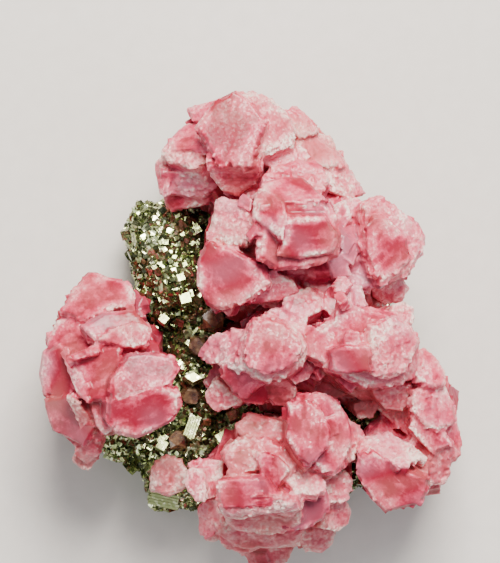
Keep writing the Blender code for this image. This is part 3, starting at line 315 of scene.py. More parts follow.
        (-5.9, -26.5), (-1.7, -25.9), (3.3, -26.3), (4.3, -28.2), (3.8, -30.7), (-0.8, -31.4), (-4.9, -31.6),
        (-5.7, -29.6)]),
    (35.5, (0, -0.7), (0, 1), 11, 0.5, 0.4, [
        (-5.6, -30), (-0.8, -30), (4.5, -28.6), (8.6, -30.2), (9.1, -31.9), (7.2, -33.1), (3.3, -32.6),
        (-1.7, -33.7), (-3.8, -33.5), (-5.2, -32.4)]),
    (31, (0.2, -0.3), (-0.5, 1), 11, 0.22, -0.25, [
        (5.4, -29.6), (9.9, -28.2), (13.8, -28.6), (14.4, -31.1), (13.1, -34), (9.9, -35.8), (6.2, -35.9)]),
    (33, (0.1, 0.6), (0, -2), 11, 0.8, 0, [
        (6.7, -26.7), (8.8, -24.8), (12.4, -25.2), (13.8, -27.8), (12.2, -29), (8.1, -29)]),
    (28, (0.45, 0.15), (-1, -1), 10, 0.75, 0.2, [
        (12.6, -26.6), (14.8, -25.9), (17.1, -25.1), (18.6, -26.9), (18, -29.2), (17.5, -30.8),
        (14.4, -31.1), (13.5, -28.7)]),
    (25, (0.6, -0.3), (-2, 1), 10, 0.65, 0.4, [
        (13.9, -31.2), (17.4, -30.6), (18.5, -33), (17.9, -35.2), (15.9, -36.6), (13, -35.8)]),
    (19, (0.3, -0.6), (-1, 1), 8, 0.7, 0.5, [
        (9.2, -36.9), (15.7, -36.2), (15.2, -39.4), (13.2, -41.1), (9.9, -40.5)]),
    (26, (-0.5, -0.2), (1.5, 0.5), 9, 0.7, 0, [
        (-9.4, -32.4), (-8, -30.7), (-5.8, -30.5), (-4.8, -32.8), (-4.9, -34.4), (-6.7, -37.2), (-8, -38),
        (-9.1, -35.8)]),
    (23, (-0.15, -0.75), (0, 1), 8, 0.7, 0.5, [
        (-8, -38.4), (-5, -34.6), (-2.8, -35.9), (-4.6, -37.6), (-6.8, -38.8)]),
    (27, (0, -0.75), (0, 2), 10, 0.6, 0.5, [
        (-5.8, -36.4), (-4.9, -34.3), (-0.8, -33.8), (7.6, -33), (9.6, -35.6), (9.1, -39), (3.7, -39.6),
        (-1.7, -39.6), (-4.4, -38.1)]),
    (20, (0, -0.6), (0, 1), 8, 0.55, 0.4, [
        (-5.9, -37.6), (-2.4, -38.3), (0.5, -39.3), (-1, -41.2), (-4.6, -39.8)]),
    (17, (0, -0.3), (0, 1), 8, 0.5, 0.5, [
        (-1.2, -40), (3.7, -39.5), (7.7, -40.2), (7, -42.6), (3.7, -44.3), (0.5, -44.3)]),
    (31, (-0.3, 0.15), (1, 0), 10, 0.9, 0, [
        (-11.7, -26.7), (-10.8, -24.7), (-8.8, -24.9), (-7.9, -28.2), (-8.1, -30.5), (-9.9, -30),
        (-11.1, -28.4)]),
    (28, (0, 0.3), (0, 0), 9, 0.6, 0, [
        (-11.4, -24), (-8, -23.1), (-4.7, -23.6), (-4.9, -27), (-8, -27.3)]),
    (36, (0, -0.7), (0, 1), 8, 0.95, 0, [
        (-5, -30.9), (-0.6, -30.9), (4.3, -30.2), (8.6, -30.6), (8.7, -31.5), (4, -32.2), (-0.6, -32.6),
        (-4.9, -32.4)]),
    (31.5, (0, -0.75), (0, 2), 9, 0.6, 0.6, [
        (-4.9, -32.4), (0.1, -33), (4.7, -32.4), (9, -31.9), (9.7, -34.6), (7.2, -36.1), (2.2, -36.5),
        (-2.4, -35.9), (-4.2, -34.6)]),
], "lone": [
    (22, (-0.1, -0.1), (0, 0), 7, 0.6, 0.85, [
        (-17.8, -25.2), (-15.8, -23.4), (-12.6, -23.5), (-11.1, -25.7), (-11.5, -29), (-14.6, -30.6),
        (-18.2, -29.2)]),
], "rosette": [
    (26, (-0.2, 0.5), (1, -2), 9, 0.35, 0.1, [
        (-34.2, 2.9), (-31.6, 7.4), (-29.3, 10.3), (-27.7, 10.3), (-24.6, 9), (-22.2, 8.6), (-20.5, 6.5),
        (-20.7, 3.8), (-25.9, 3.4), (-29.5, 1.3)]),
    (31.5, (0.1, 0.5), (0, -2), 11, 0.24, 0, [
        (-30.2, 0.5), (-26.1, 3.1), (-20.6, 3.5), (-17.5, 0.3), (-17.9, -2.9), (-22.3, -2.9),
        (-26.9, -2.7)]),
    (33, (0.2, 0), (0, -1), 11, 0.35, 0, [
        (-27, -1.8), (-24.8, -0.1), (-20.3, 1.5), (-17.7, 0.3), (-17.9, -2.9), (-22.3, -3.3)]),
    (28, (-0.6, 0), (2, 0), 10, 0.1, 0, [
        (-37.4, -4.1), (-33.9, -2.6), (-32.5, -4.8), (-28.5, -10.5), (-28.8, -13.3), (-33.9, -12.3),
        (-37.2, -11.8), (-38, -8.2)]),
    (27, (-0.45, 0.4), (1, -1), 9, 0.4, 0, [
        (-36.6, -2.9), (-34.8, 1.6), (-31.2, 2.2), (-29.7, 0.2), (-26.4, -3), (-32.2, -5)]),
    (33, (-0.3, 0.15), (1, 0), 11, 0.2, 0, [
        (-33, -4.9), (-26.6, -2.9), (-23.2, -2.9), (-22.6, -4.8), (-24.4, -7.9), (-24.7, -12.8),
        (-28, -12.8), (-30.1, -9)]),
    (37, (0.2, -0.25), (-1, -1.5), 13, 0.16, 0, [
        (-25.1, -12.7), (-21.4, -11.3), (-17.2, -9.9), (-13.8, -10.1), (-12.3, -11.3), (-12.1, -13.8),
        (-13.5, -16.1), (-16.5, -17.7), (-20, -19.3), (-23.5, -18.4), (-25.3, -15.9)]),
    (28, (-0.5, -0.3), (2, 1), 10, 0.06, 0, [
        (-37, -12.5), (-33.5, -11.8), (-28.7, -13.7), (-27.4, -18), (-29.3, -21.1), (-32.7, -19.5),
        (-35.5, -18.3), (-36.5, -15.2)]),
    (28.3, (-0.1, -0.75), (0, 0), 8, 0.5, 0.5, [
        (-32.7, -11.8), (-30.7, -12.4), (-28.1, -16.2), (-26.1, -19.5), (-27.2, -22.8), (-29.4, -24.3),
        (-31, -23.2), (-29.8, -19.9), (-30.8, -15.8)]),
    (23, (0, -0.15), (0.5, 1), 7, 0.75, 0.6, [
        (-30.2, -21.2), (-27.7, -19.9), (-26.5, -21.5), (-27.2, -23.1), (-29.2, -25.9), (-31.9, -23.7)]),
    (37.2, (0.05, 0.2), (-1, -1.5), 12, 0.24, -0.05, [
        (-24.4, -8.5), (-21.8, -4.2), (-17.6, -3.9), (-13.3, -4.6), (-12.3, -6.7), (-13.7, -9.7),
        (-17.2, -10.7), (-21.4, -12), (-24.7, -13)]),
    (32, (-0.45, 0.15), (0, 0), 6, 0.6, 0, [
        (-33.6, -4), (-32.7, -3.7), (-30, -8.3), (-28.3, -10.9), (-28.7, -13), (-30.5, -11.8), (-32, -8.1)]),
    (33.4, (0, 0.6), (0, 0), 6, 0.5, 0, [
        (-31.8, -4.7), (-27.6, -2.7), (-26.2, -2), (-27.1, -4.3), (-31.3, -5.4)]),
    (31.5, (-0.1, -0.15), (0, 0), 9, 0.15, 0, [
        (-28.7, -11.5), (-25.2, -11.8), (-24.3, -14.7), (-23.8, -17.5), (-25.7, -19), (-27.5, -17.2)]),
]}
# The grown-together body under each cluster's crystals: the heights of its underside and its top, and the
# outline round its middle. CORE_PROFILE gives the shape between them.
CORES = {
    "crown": (9, 28, [
        (-14.4, 31.5), (-11, 36), (-4, 40), (1.5, 40.5), (7, 37.5), (13.5, 33), (19, 25.5), (15, 21.5),
        (5.5, 22.5), (-2, 25), (-9, 23.5), (-14, 24.5)]),
    "heart": (9, 33, [
        (-6.8, 21), (0.5, 24.5), (9, 27.5), (19.5, 23), (29, 17.5), (28.5, 10.5), (23.5, 5.5), (9.5, 4),
        (-4, 4.5), (-8, 9), (-8, 15.5)]),
    "girdle": (9, 32, [
        (-7, -2), (0, 4), (9, 6.5), (23, 7), (28, 1), (28.5, -7.5), (23, -12.5), (14.5, -10.5), (7.5, -11),
        (-1, -13), (-6.5, -12), (-7.2, -6.5)]),
    "flank": (8, 25, [
        (30.5, -5.5), (34, -7.5), (36.5, -19), (35, -26), (31.5, -29.5), (24.5, -31.5), (21, -28),
        (20.5, -23.5), (24, -20.5), (29, -18)]),
    "foot": (8, 30, [
        (-1, -17.5), (8, -13.5), (16, -13), (19, -20), (17, -26), (16.8, -33), (9.5, -38.5), (-1.5, -39),
        (-8, -36), (-9, -27), (-4.5, -23)]),
    "rosette": (8.5, 26, [
        (-33, 3), (-28.5, 8), (-22.5, 7), (-19, 0), (-14.5, -5.5), (-14, -13.5), (-19, -18), (-25, -18.5),
        (-29.5, -20), (-34.5, -17), (-36, -12), (-35.8, -4)]),
}

# From the clear heart of a crystal to its frosted edges.
CRYSTAL_PINKS = [(0.0, "#981834"), (0.25, "#CB4561"), (0.55, "#E17F8C"), (0.80, "#EDAAAB"), (1.0, "#F7D9D1")]
CRYSTAL_BROWN = "#BC8577"
CRYSTAL_LILAC = "#B58BA0"
TONE_SHARE = 0.55            # of brown or lilac, where the tone is fully brown or lilac
VEIL_CONTRAST = 0.50         # of the cloudy veils inside the crystals
VEIL_SIZE = 1.4
SUGAR_CONTRAST = 0.58        # of the finest crystals on the frosted parts, each a little paler or deeper
FINEST_SIZE = 0.4
CRUST_TILT = (0.08, 1.0)     # how far the finest crystals stand at a slant, on clear and on frosted parts
ROUGHNESS = (0.28, 0.36)     # on clear and on frosted parts


def linear(colour):
    """An sRGB hex colour as the linear red, green, blue and alpha that a shader takes."""
    parts = [int(colour[k:k + 2], 16) / 255 for k in (1, 3, 5)]
    return [part / 12.92 if part <= 0.04045 else ((part + 0.055) / 1.055) ** 2.4 for part in parts] + [1.0]


def add_node(tree, kind, settings=None, stops=(), **inputs):
    """A new shader node with its settings, the stops of its colours if it has any, and its inputs set to
    values or linked from sockets."""
    node = tree.nodes.new(kind)
    for name, value in (settings or {}).items():
        setattr(node, name, value)
    for place, _ in stops[1:-1]:
        node.color_ramp.elements.new(place)
    for number, (place, colour) in enumerate(stops):
        node.color_ramp.elements[number].position = place
        node.color_ramp.elements[number].color = linear(colour)
    for name, value in inputs.items():
        socket = node.inputs[int(name[1:])] if name[0] == "_" else node.inputs[name.replace("_", " ")]
        if isinstance(value, bpy.types.NodeSocket):
            tree.links.new(value, socket)
        else:
            socket.default_value = value
    return node


def new_material(name):
    """An empty material, with its node tree and its Principled shader."""
    made = bpy.data.materials.new(name)
    made.use_nodes = True
    return made, made.node_tree, made.node_tree.nodes["Principled BSDF"]


def middle_of(outline):
    """The mean place of an outline's corners."""
    return sum((Vector(point) for point in outline), Vector((0, 0))) / len(outline)


def spread_of(outline):
    """Half the width of an outline, from its corners' distances to its middle."""
    middle = middle_of(outline)
    return math.sqrt(sum((Vector(point) - middle).length_squared for point in outline) / len(outline))


def stops_along(outline, spacing):
    """The stretches of about the spacing that an outline's sides are cut into: for each the two ends of its
    side, its number on the side, and how many the side has."""
    for number, point in enumerate(outline):
        start, end = Vector(point), Vector(outline[(number + 1) % len(outline)])
        stops = max(1, round((end - start).length / spacing))
        for stop in range(stops):
            yield start, end, stop, stops


def pull(bm, face, share, move, centre):
    """Draws a face out, scaled about the centre and then moved, and gives the new face."""
    drawn = bmesh.ops.extrude_face_region(bm, geom=[face])["geom"]
    verts = [item for item in drawn if isinstance(item, bmesh.types.BMVert)]
    bmesh.ops.scale(bm, verts=verts, vec=(share, share, share), space=Matrix.Translation(-centre))
    bmesh.ops.translate(bm, verts=verts, vec=move)
    return next(item for item in drawn if isinstance(item, bmesh.types.BMFace))


def grow_crystal(bm, group_middle, height, lean, shift, depth, frost, tone, outline):
    """A crystal: its front face, the belt round it where its outline is widest, and its root."""
    middle = middle_of(outline)
    root = (group_middle - middle) * ROOT_PULL + Vector(shift)
    bevelled = spread_of(outline) >= BEVELLED_FROM
    share = FACE_SHARE if bevelled else 1.0
    bevel = BEVEL_DROP * spread_of(outline) if bevelled else 0.0
    centre = Vector((*middle, height))
    front = []
    for point in outline:
        place = (Vector(point) - middle) * share
        front.append(bm.verts.new((*(middle + place), height - place.dot(Vector(lean)))))
    face = bm.faces.new(front)
    if bevelled:
        face = pull(bm, face, 1 / share, Vector((0, 0, -bevel)), centre)
        centre.z -= bevel
    pull(bm, face, ROOT_SHARE, Vector((*root, bevel - depth)), centre)


def rhomb_frame(axis, turn):
    """A cube's turn and slant into a rhomb whose blunt corner looks along the axis."""
    away = math.acos(math.sqrt((1 + 2 * POLAR_COSINE) / 3))
    edges = [
        Vector((math.sin(away) * math.cos(turn + k * math.tau / 3),
                math.sin(away) * math.sin(turn + k * math.tau / 3), math.cos(away)))
        for k in range(3)
    ]
    return Vector(axis).to_track_quat("Z", "Y").to_matrix() @ Matrix(edges).transposed()


def grow_rhomb(bm, middle, size, axis, turn):
    """A rhomb with edges of the size, whose blunt corner looks along the axis."""
    placing = Matrix.Translation(middle) @ rhomb_frame(axis, turn).to_4x4()
    bmesh.ops.create_cube(bm, size=size, matrix=placing)


def grow_core(bm, low, high, outline):
    """The domed body under a cluster, drawn down from its top level by level."""
    middle = middle_of(outline)
    level, share = CORE_PROFILE[0]
    height = low + (high - low) * level
    top = [bm.verts.new((*(middle + (Vector(point) - middle) * share), height)) for point in outline]
    face = bm.faces.new(top)
    for (upper, wide), (lower, narrow) in zip(CORE_PROFILE, CORE_PROFILE[1:]):
        centre = Vector((*middle, low + (high - low) * upper))
        face = pull(bm, face, narrow / wide, Vector((0, 0, (high - low) * (lower - upper))), centre)


def skirt_places(name):
    """Where rhombs grow out of a cluster's sides: the middle, the size, the axis and the turn of each."""
    low, high, outline = CORES[name]
    draw = random.Random(f"{name} {SKIRT_SEED}")
    middle = middle_of(outline)
    places = []
    for start, end, stop, stops in stops_along(outline, SKIRT_SPACING):
        size = draw.uniform(*SKIRT_SIZE)
        place = start.lerp(end, (stop + draw.uniform(0.3, 0.7)) / stops)
        out = (place - middle).normalized()
        upper = len(places) % 2
        place -= out * (size * SKIRT_SUNK - upper)
        height = low + (high - low) * SKIRT_LEVELS[upper] + draw.uniform(-1, 1)
        axis = (out.x, out.y, draw.uniform(*SKIRT_RISES[upper]))
        places.append((Vector((place.x, place.y, height)), size, axis, draw.uniform(0, math.tau)))
    return places


def block_frame(lean, way):
    """A cube's turn and slant into a rhomb with one face along a crystal's front face and one edge along the
    way given in x and y."""
    out = Vector((*lean, 1)).normalized()
    first = Vector((*way, 0))
    first = (first - out * first.dot(out)).normalized()
    second = Matrix.Rotation(math.acos(POLAR_COSINE), 3, out) @ first
    slant = POLAR_COSINE / (1 + POLAR_COSINE)
    third = (first + second) * slant - out * math.sqrt(1 - slant * slant * (2 + 2 * POLAR_COSINE))
    return Matrix((first, second, third)).transposed()


def grow_block(bm, top, sizes, frame):
    """A rhomb that hangs down from the middle of its top face."""
    middle = top + frame.col[2] * sizes[2] / 2
    bmesh.ops.create_cube(bm, matrix=Matrix.Translation(middle) @ (frame @ Matrix.Diagonal(sizes)).to_4x4())


def longest_side(outline):
    """The way in which an outline's longest side runs."""
    sides = [Vector(outline[k - 1]) - Vector(outline[k]) for k in range(len(outline))]
    return max(sides, key=lambda side: side.length).normalized()


def place_on(draw, outline):
    """A place on a crystal's front face, drawn evenly."""
    corners = [Vector(point) for point in outline]
    middle = middle_of(outline)
    fans = [abs((a - middle).cross(b - middle)) for a, b in zip(corners, corners[1:] + corners[:1])]
    number = draw.choices(range(len(corners)), fans)[0]
    edge = corners[number].lerp(corners[(number + 1) % len(corners)], draw.random())
    return middle.lerp(edge, 0.85 * math.sqrt(draw.random()))


def grow_parallel(bm, draw, height, lean, frost, outline):
    """The smaller rhombs that are grown onto a crystal, turned as it is: steps on its face, and teeth along
    the face's edge."""
    middle = middle_of(outline)
    half = spread_of(outline)
    bevel = BEVEL_DROP * half if half >= BEVELLED_FROM else 0.0
    frame = block_frame(lean, longest_side(outline))
    lean = Vector(lean)
    for _ in range(round(STEPS_PER_FACE * max(0.0, frost - STEPPED_FROM) * half / 5)):
        place = place_on(draw, outline)
        top = height - (place - middle).dot(lean) + draw.uniform(*STEP_RISE)
        sizes = (half * draw.uniform(*STEP_SIZE), half * draw.uniform(*STEP_SIZE), STEP_DEPTH)
        grow_block(bm, Vector((*place, top)), sizes, frame)
    for start, end, stop, stops in stops_along(outline, TOOTH_SPACING):
        size = draw.uniform(*TOOTH_SIZE) * min(1.0, 0.4 + half / 9) * (0.5 + 0.6 * frost)
        place = start.lerp(end, (stop + draw.random()) / stops)
        place += (middle - place).normalized() * size * draw.uniform(*TOOTH_INSET)
        top = height - (place - middle).dot(lean) - bevel * draw.uniform(-0.1, 1.3)
        sizes = (size * draw.uniform(0.7, 1.6), size * draw.uniform(0.7, 1.4), size * 1.5)
        grow_block(bm, Vector((*place, top)), sizes, frame)


def grow_sugar(bm, draw, height, lean, frost, outline):
    """The fine crystals that crust a frosted face, most of them turned nearly as the face is."""
    middle = middle_of(outline)
    half = spread_of(outline)
    turn = draw.uniform(0, math.tau)
    for _ in range(round(SUGAR_DENSITY * max(0.0, frost - SUGARED_FROM) * half * half)):
        place = place_on(draw, outline)
        size = draw.uniform(*SUGAR_SIZE) * draw.choice((1.0, 1.0, 1.6))
        top = height - (place - middle).dot(Vector(lean))
        axis = Vector((*lean, 1)).normalized() + Vector([draw.gauss(0, SUGAR_LEAN) for _ in range(3)])
        place = Vector((*place, top - size * SUGAR_SUNK))
        grow_rhomb(bm, place, size, axis, turn + draw.gauss(0, SUGAR_TURN))


def stands_clear(place, size, rows):
    """Whether a crystal of the size, grown at a place, stays below and beside every front face."""
    for height, lean, _, _, _, _, outline in rows:
        offset = place.xy - middle_of(outline)
        below = height - offset.dot(Vector(lean)) - place.z
        if -1 < below < 0.75 * size and offset.length < spread_of(outline) * 1.6 + size:
            if inset(np.array([place.xy]), outline)[0] > -0.6 * size:
                return False
    return True


def frame_beside(draw, place, rows):
    """The frame of the crystal that a place is nearest to, turned and leant a little further."""
    def apart(row):
        return (place - Vector((*middle_of(row[-1]), row[0]))).length - spread_of(row[-1])

    nearest = min(rows, key=apart)
    lean = [part + draw.gauss(0, COMPANY_LEAN) for part in nearest[1]]
    way = longest_side(nearest[-1])
    way.rotate(Matrix.Rotation(draw.gauss(0, COMPANY_LEAN), 2))
    return block_frame(lean, way)


DOWN = Vector((0, 0, -1))
SIDES = [Vector(side) for side in ((1, 0), (0, 1), (-1, 0), (0, -1))]


def within_box(place, margin):
    """Whether everything within the margin of a place lies in the specimen's box."""
    low, high = (Vector(corner) / MM + MIDDLE for corner in cad_box)
    return all(a + margin < b < c - margin for a, b, c in zip(low, place, high))


def carried(surface, place, size):
    """Whether the surface is under a place, and under the places beside it to all four sides."""
    beside = [Vector((*(place.xy + side * size * 0.6), FAR)) for side in SIDES]
    return all(surface.ray_cast(start, DOWN)[0] for start in beside)


def grow_company(bm, draw, name):
    """The crystals of middling size, which fill the hollows between the large ones and step their sides.
    Each is turned nearly as its large neighbour is."""
    low, high, outline = CORES[name]
    surface = BVHTree.FromBMesh(bm)
    middle = middle_of(outline)
    reach = max((Vector(point) - middle).length for point in outline) + 3
    places = []
    for _ in range(round((2 * reach / COMPANY_SPACING) ** 2)):
        start = Vector((middle.x + draw.uniform(-reach, reach), middle.y + draw.uniform(-reach, reach), FAR))
        places.append((start, DOWN))
    for _ in range(round(math.tau * reach * (high - low) / COMPANY_SPACING ** 2)):
        angle = draw.uniform(0, math.tau)
        out = Vector((math.cos(angle), math.sin(angle), 0))
        aim = Vector((*middle, draw.uniform(low + 1, high)))
        places.append((aim + out * FAR, -out))
    for start, way in places:
        place, normal, _, _ = surface.ray_cast(start, way)
        met_from = "above" if way is DOWN else "aside"
        size = draw.uniform(*COMPANY_SIZE) * (1.0 if met_from == "above" else 0.75)
        if place and place.z > low + 1 and stands_clear(place, size, CRYSTALS[name]):
            sizes = [size * draw.uniform(*COMPANY_STRETCH), size * draw.uniform(*COMPANY_STRETCH), size]
            frame = frame_beside(draw, place, CRYSTALS[name])
            centre = place - normal * size * draw.uniform(*COMPANY_SUNK[met_from])
            if within_box(centre, size) and carried(surface, centre, size):
                grow_block(bm, centre - frame.col[2] * size / 2, sizes, frame)


def grow_group(name):
    """Every shape that one group of the crystals is grown together from, in millimetres."""
    bm = bmesh.new()
    draw = random.Random(name)
    middle = middle_of(CORES[name][-1] if name in CORES else CRYSTALS[name][0][-1])
    for row in CRYSTALS[name]:
        grow_crystal(bm, middle, *row)
        height, lean, frost, outline = row[0], row[1], row[4], row[-1]
        grow_parallel(bm, draw, height, lean, frost, outline)
        grow_sugar(bm, draw, height, lean, frost, outline)
    if name in CORES:
        grow_core(bm, *CORES[name])
        for place in skirt_places(name):
            grow_rhomb(bm, *place)
        grow_company(bm, draw, name)
    bmesh.ops.recalc_face_normals(bm, faces=bm.faces)
    return bm


def new_object(name, data):
    """An object of the scene, at the origin."""
    made = bpy.data.objects.new(name, data)
    bpy.context.scene.collection.objects.link(made)
    return made


def new_mesh(bm, name):
    """What the bmesh holds as a mesh. The bmesh is used up."""
    mesh = bpy.data.meshes.new(name)
    bm.to_mesh(mesh)
    bm.free()
    return mesh


def add_piece(bm, name):
    """The bmesh, drawn in millimetres in the tables' places, as an object of the frame."""
    bmesh.ops.translate(bm, verts=bm.verts, vec=-MIDDLE)
    bmesh.ops.scale(bm, verts=bm.verts, vec=(MM, MM, MM))
    return new_object(name, new_mesh(bm, name))


def apply_modifiers(piece):
    """Makes what a piece's modifiers give its mesh."""
    graph = bpy.context.evaluated_depsgraph_get()
    mesh = bpy.data.meshes.new_from_object(piece.evaluated_get(graph))
    piece.modifiers.clear()
    piece.data = mesh


def fuse(piece, voxel):
    """Makes all the closed shapes of a piece one skin, with its points a voxel apart."""
    skin = piece.modifiers.new("skin", "REMESH")
    skin.mode = "VOXEL"
    skin.voxel_size = voxel * MM
    apply_modifiers(piece)
    piece.data.shade_smooth()


def thin(piece, kept):
    """Keeps only a share of a skin's triangles. Those that go are on the sides and the underside, the most
    of them on flats."""
    turned = piece.vertex_groups.new(name="turned_away")
    turned.add(np.flatnonzero(read(piece.data, "normal")[:, 2] < FACING_UP).tolist(), 1.0, "REPLACE")
    fewer = piece.modifiers.new("fewer", "DECIMATE")
    fewer.ratio = kept
    fewer.vertex_group = turned.name
    fewer.use_collapse_triangulate = True
    apply_modifiers(piece)
    piece.vertex_groups.clear()


def read(mesh, what):
    """The places or the normals of a mesh's points, places in millimetres in the tables' own frame."""
    numbers = np.empty(len(mesh.vertices) * 3)
    mesh.vertices.foreach_get(what, numbers)
    numbers = numbers.reshape(-1, 3)
    return numbers / MM + np.array(MIDDLE) if what == "co" else numbers


def write_places(mesh, places):
    """Moves a mesh's points to the places, but none out of the specimen's box."""
    places = np.clip((places - np.array(MIDDLE)) * MM, *cad_box)
    mesh.vertices.foreach_set("co", places.ravel())
    mesh.update()


def store(mesh, name, numbers):
    """Keeps a number for each of a mesh's points, which its material reads by the name."""
    attribute = mesh.attributes.new(name, "FLOAT", "POINT")
    attribute.data.foreach_set("value", numbers.astype(np.float32))


def ripple(places, wavelength, seed):
    """A smooth uneven field over the places, mostly between -1 and 1, whose swells are a wavelength apart."""
    draw = np.random.default_rng(seed)
    ways = draw.normal(size=(14, 3))
    ways *= math.tau / (np.linalg.norm(ways, axis=1) * wavelength * draw.uniform(0.7, 1.4, 14))[:, None]
    return np.sin(places @ ways.T + draw.uniform(0, math.tau, 14)).sum(axis=1) / 4.5


def mosaic(places, size, seed):
    """The places cut up into grains of about the size, each with its own level between -1 and 1."""
    draw = np.random.default_rng(seed)
    cells = places / size
    cells -= cells.min(axis=0) - 1
    home = cells.astype(int)
    shape = home.max(axis=0) + 2
    seeds = draw.random((*shape, 3))
    levels = draw.uniform(-1, 1, shape)
    nearest = np.full(len(places), np.inf)
    level = np.zeros(len(places))
    for shift in np.ndindex(3, 3, 3):
        cell = tuple((home + np.array(shift) - 1).T)
        apart = ((np.stack(cell, axis=1) + seeds[cell] - cells) ** 2).sum(axis=1)
        closer = apart < nearest
        nearest[closer], level[closer] = apart[closer], levels[cell][closer]
    return level


def step(numbers, low, high):
    """0 up to low, 1 from high on, and a smooth rise between them."""
    share = np.clip((numbers - low) / (high - low), 0, 1)
    return share * share * (3 - 2 * share)


def inset(points, outline):
    """How far in from the outline each point lies, or less than zero outside it."""
    nearest = np.full(len(points), np.inf)
    inside = np.zeros(len(points), bool)
    ring = np.array(outline)
    for start, end in zip(ring, np.roll(ring, -1, axis=0)):
        along = end - start
        share = np.clip((points - start) @ along / (along @ along), 0, 1)
        nearest = np.minimum(nearest, np.linalg.norm(points - start - share[:, None] * along, axis=1))
        crossing = start[0] + (points[:, 1] - start[1]) * along[0] / (along[1] or 1e-9)
        inside ^= ((start[1] > points[:, 1]) != (end[1] > points[:, 1])) & (points[:, 0] < crossing)
    return np.where(inside, nearest, -nearest)


def nearest_faces(places, rows):
    """For each place the number of the crystal whose front face is nearest, how far in from that face's
    edge the place lies, and how far under it."""
    owner = np.full(len(places), -1)
    within = np.full(len(places), -9.0)
    under = np.full(len(places), 9.0)
    best = np.full(len(places), 9.0)
    for number, (height, lean, _, _, _, _, outline) in enumerate(rows):
        offset = places[:, :2] - np.array(middle_of(outline))
        below = height - offset @ np.array(lean) - places[:, 2]
        about = (np.abs(offset).max(axis=1) < spread_of(outline) * 2 + 3) & (np.abs(below) < 9)
        deep = inset(places[about, :2], outline)
        apart = np.hypot(np.minimum(deep, 0), below[about])
        better = apart < best[about]
        chosen = np.flatnonzero(about)[better]
        owner[chosen], within[chosen], under[chosen] = number, deep[better], below[chosen]
        best[chosen] = apart[better]
    return owner, within, under


def edge_sharpness(mesh, normals, voxel):
    """How far each point stands out over the points round it: 0 on a flat face, about 1 on an outer edge."""
    ends = np.empty(len(mesh.edges) * 2, np.int64)
    mesh.edges.foreach_get("vertices", ends)
    ends = ends.reshape(-1, 2)
    places = read(mesh, "co")
    count = np.bincount(ends.ravel(), minlength=len(places))[:, None]

    def around(numbers):
        total = np.zeros_like(numbers)
        np.add.at(total, ends[:, 0], numbers[ends[:, 1]])
        np.add.at(total, ends[:, 1], numbers[ends[:, 0]])
        return total / np.maximum(count, 1)

    out = ((places - around(places)) * normals).sum(axis=1)[:, None] / voxel
    for _ in range(3):
        out = (out + around(out)) / 2
    return np.clip(out[:, 0] / 0.085, -1, 1)


def sculpt(piece, name):
    """Lays growth layers round the sides and a mosaic of grains over the faces, and works out where the
    crystals are frosted, with painted shade down their sides and in their creases and a painted highlight
    along their outer edges."""
    mesh = piece.data
    rows = CRYSTALS[name]
    places, normals = read(mesh, "co"), read(mesh, "normal")
    owner, within, under = nearest_faces(places, rows)
    half = np.array([spread_of(row[-1]) for row in rows] + [4.0])[owner]
    frost = np.array([row[4] for row in rows] + [0.45])[owner]
    tone = np.array([row[5] for row in rows] + [0.1])[owner]
    seed = sum(map(ord, name))
    swell = ripple(places, SWELL, seed)
    grains, fine = (mosaic(places, size, seed + number) for number, size in enumerate(GRAINS))
    apart = owner * 9.0      # keeps the levels of one crystal's mosaics from the next one's

    on_face = step(within, -0.15, 0.15) * (1 - step(np.abs(under), 1.2, 1.8))
    layers = mosaic(np.stack([under + 0.25 * swell, apart, owner * 0.0], axis=1) / LAYER, 1.0, seed + 2)
    ways = np.array([longest_side(row[-1]) for row in rows] + [Vector((1, 0))])[owner]
    along = (places[:, :2] * ways).sum(axis=1)
    across = places[:, 1] * ways[:, 0] - places[:, 0] * ways[:, 1]
    long, wide, thick = BLOCK
    blocks = mosaic(np.stack([along / long, across / wide, under / thick + apart], axis=1), 1.0, seed + 5)
    bands = mosaic(np.stack([within / BAND, apart, owner * 0.0], axis=1), 1.0, seed + 6)
    rough = 0.004 + 0.05 * np.clip(frost + 0.25 * swell - 0.30, 0, 0.7)
    places += normals * (rough * (grains + 0.7 * fine) + (1 - on_face) * LAYER_RISE * layers)[:, None]
    places += normals * (on_face * BLOCK_RISE * blocks)[:, None]
    write_places(mesh, places)

    sharp = edge_sharpness(mesh, read(mesh, "normal"), SKIN_VOXEL)
    draw = np.random.default_rng(seed)
    rim_width = draw.uniform(*RIM_WIDTH, len(rows) + 1)[owner] * np.clip(half / 5, 0.4, 1.2)
    rim_frost = draw.uniform(*RIM_FROST, len(rows) + 1)[owner] * (1 - 0.6 * frost)
    patchy = np.clip(0.6 + 0.9 * ripple(places, 6.0, seed + 4), 0.1, 1.4)
    rim = (1 - step(within + 0.35 * swell, 0.35 * rim_width, rim_width)) * on_face * rim_frost * patchy
    clear = 1 - np.clip(frost * 1.2, 0, 1)
    pale = FROSTED * frost ** 1.2 + BARE + rim + on_face * (BANDED * bands + BLOCKED * blocks)
    # Frosting and a painted highlight along the outer edges, and painted shade in the creases.
    pale += patchy * FROST_AND_PAINTED_HIGHLIGHT_ON_EDGES * np.clip(sharp, 0, 1) + clear * PAINTED_SHADE_IN_CREASES * np.clip(sharp, -1, 0)
    # The last term is painted shade, deepening the sides under the front faces.
    pale += (SWELLED * swell + GRAINED * grains + FINE_GRAINED * fine
             + PAINTED_SHADE_DOWN_THE_SIDES * (1 - on_face) * step(under, 0.8, 5.0))
    store(mesh, "pale", np.clip(pale, 0, 1))
    mesh.set_sharp_from_angle(angle=math.radians(CREASE_ANGLE))
    store(mesh, "tone", np.clip(tone + 0.30 * ripple(places, 8.0, seed + 3), -1, 1))


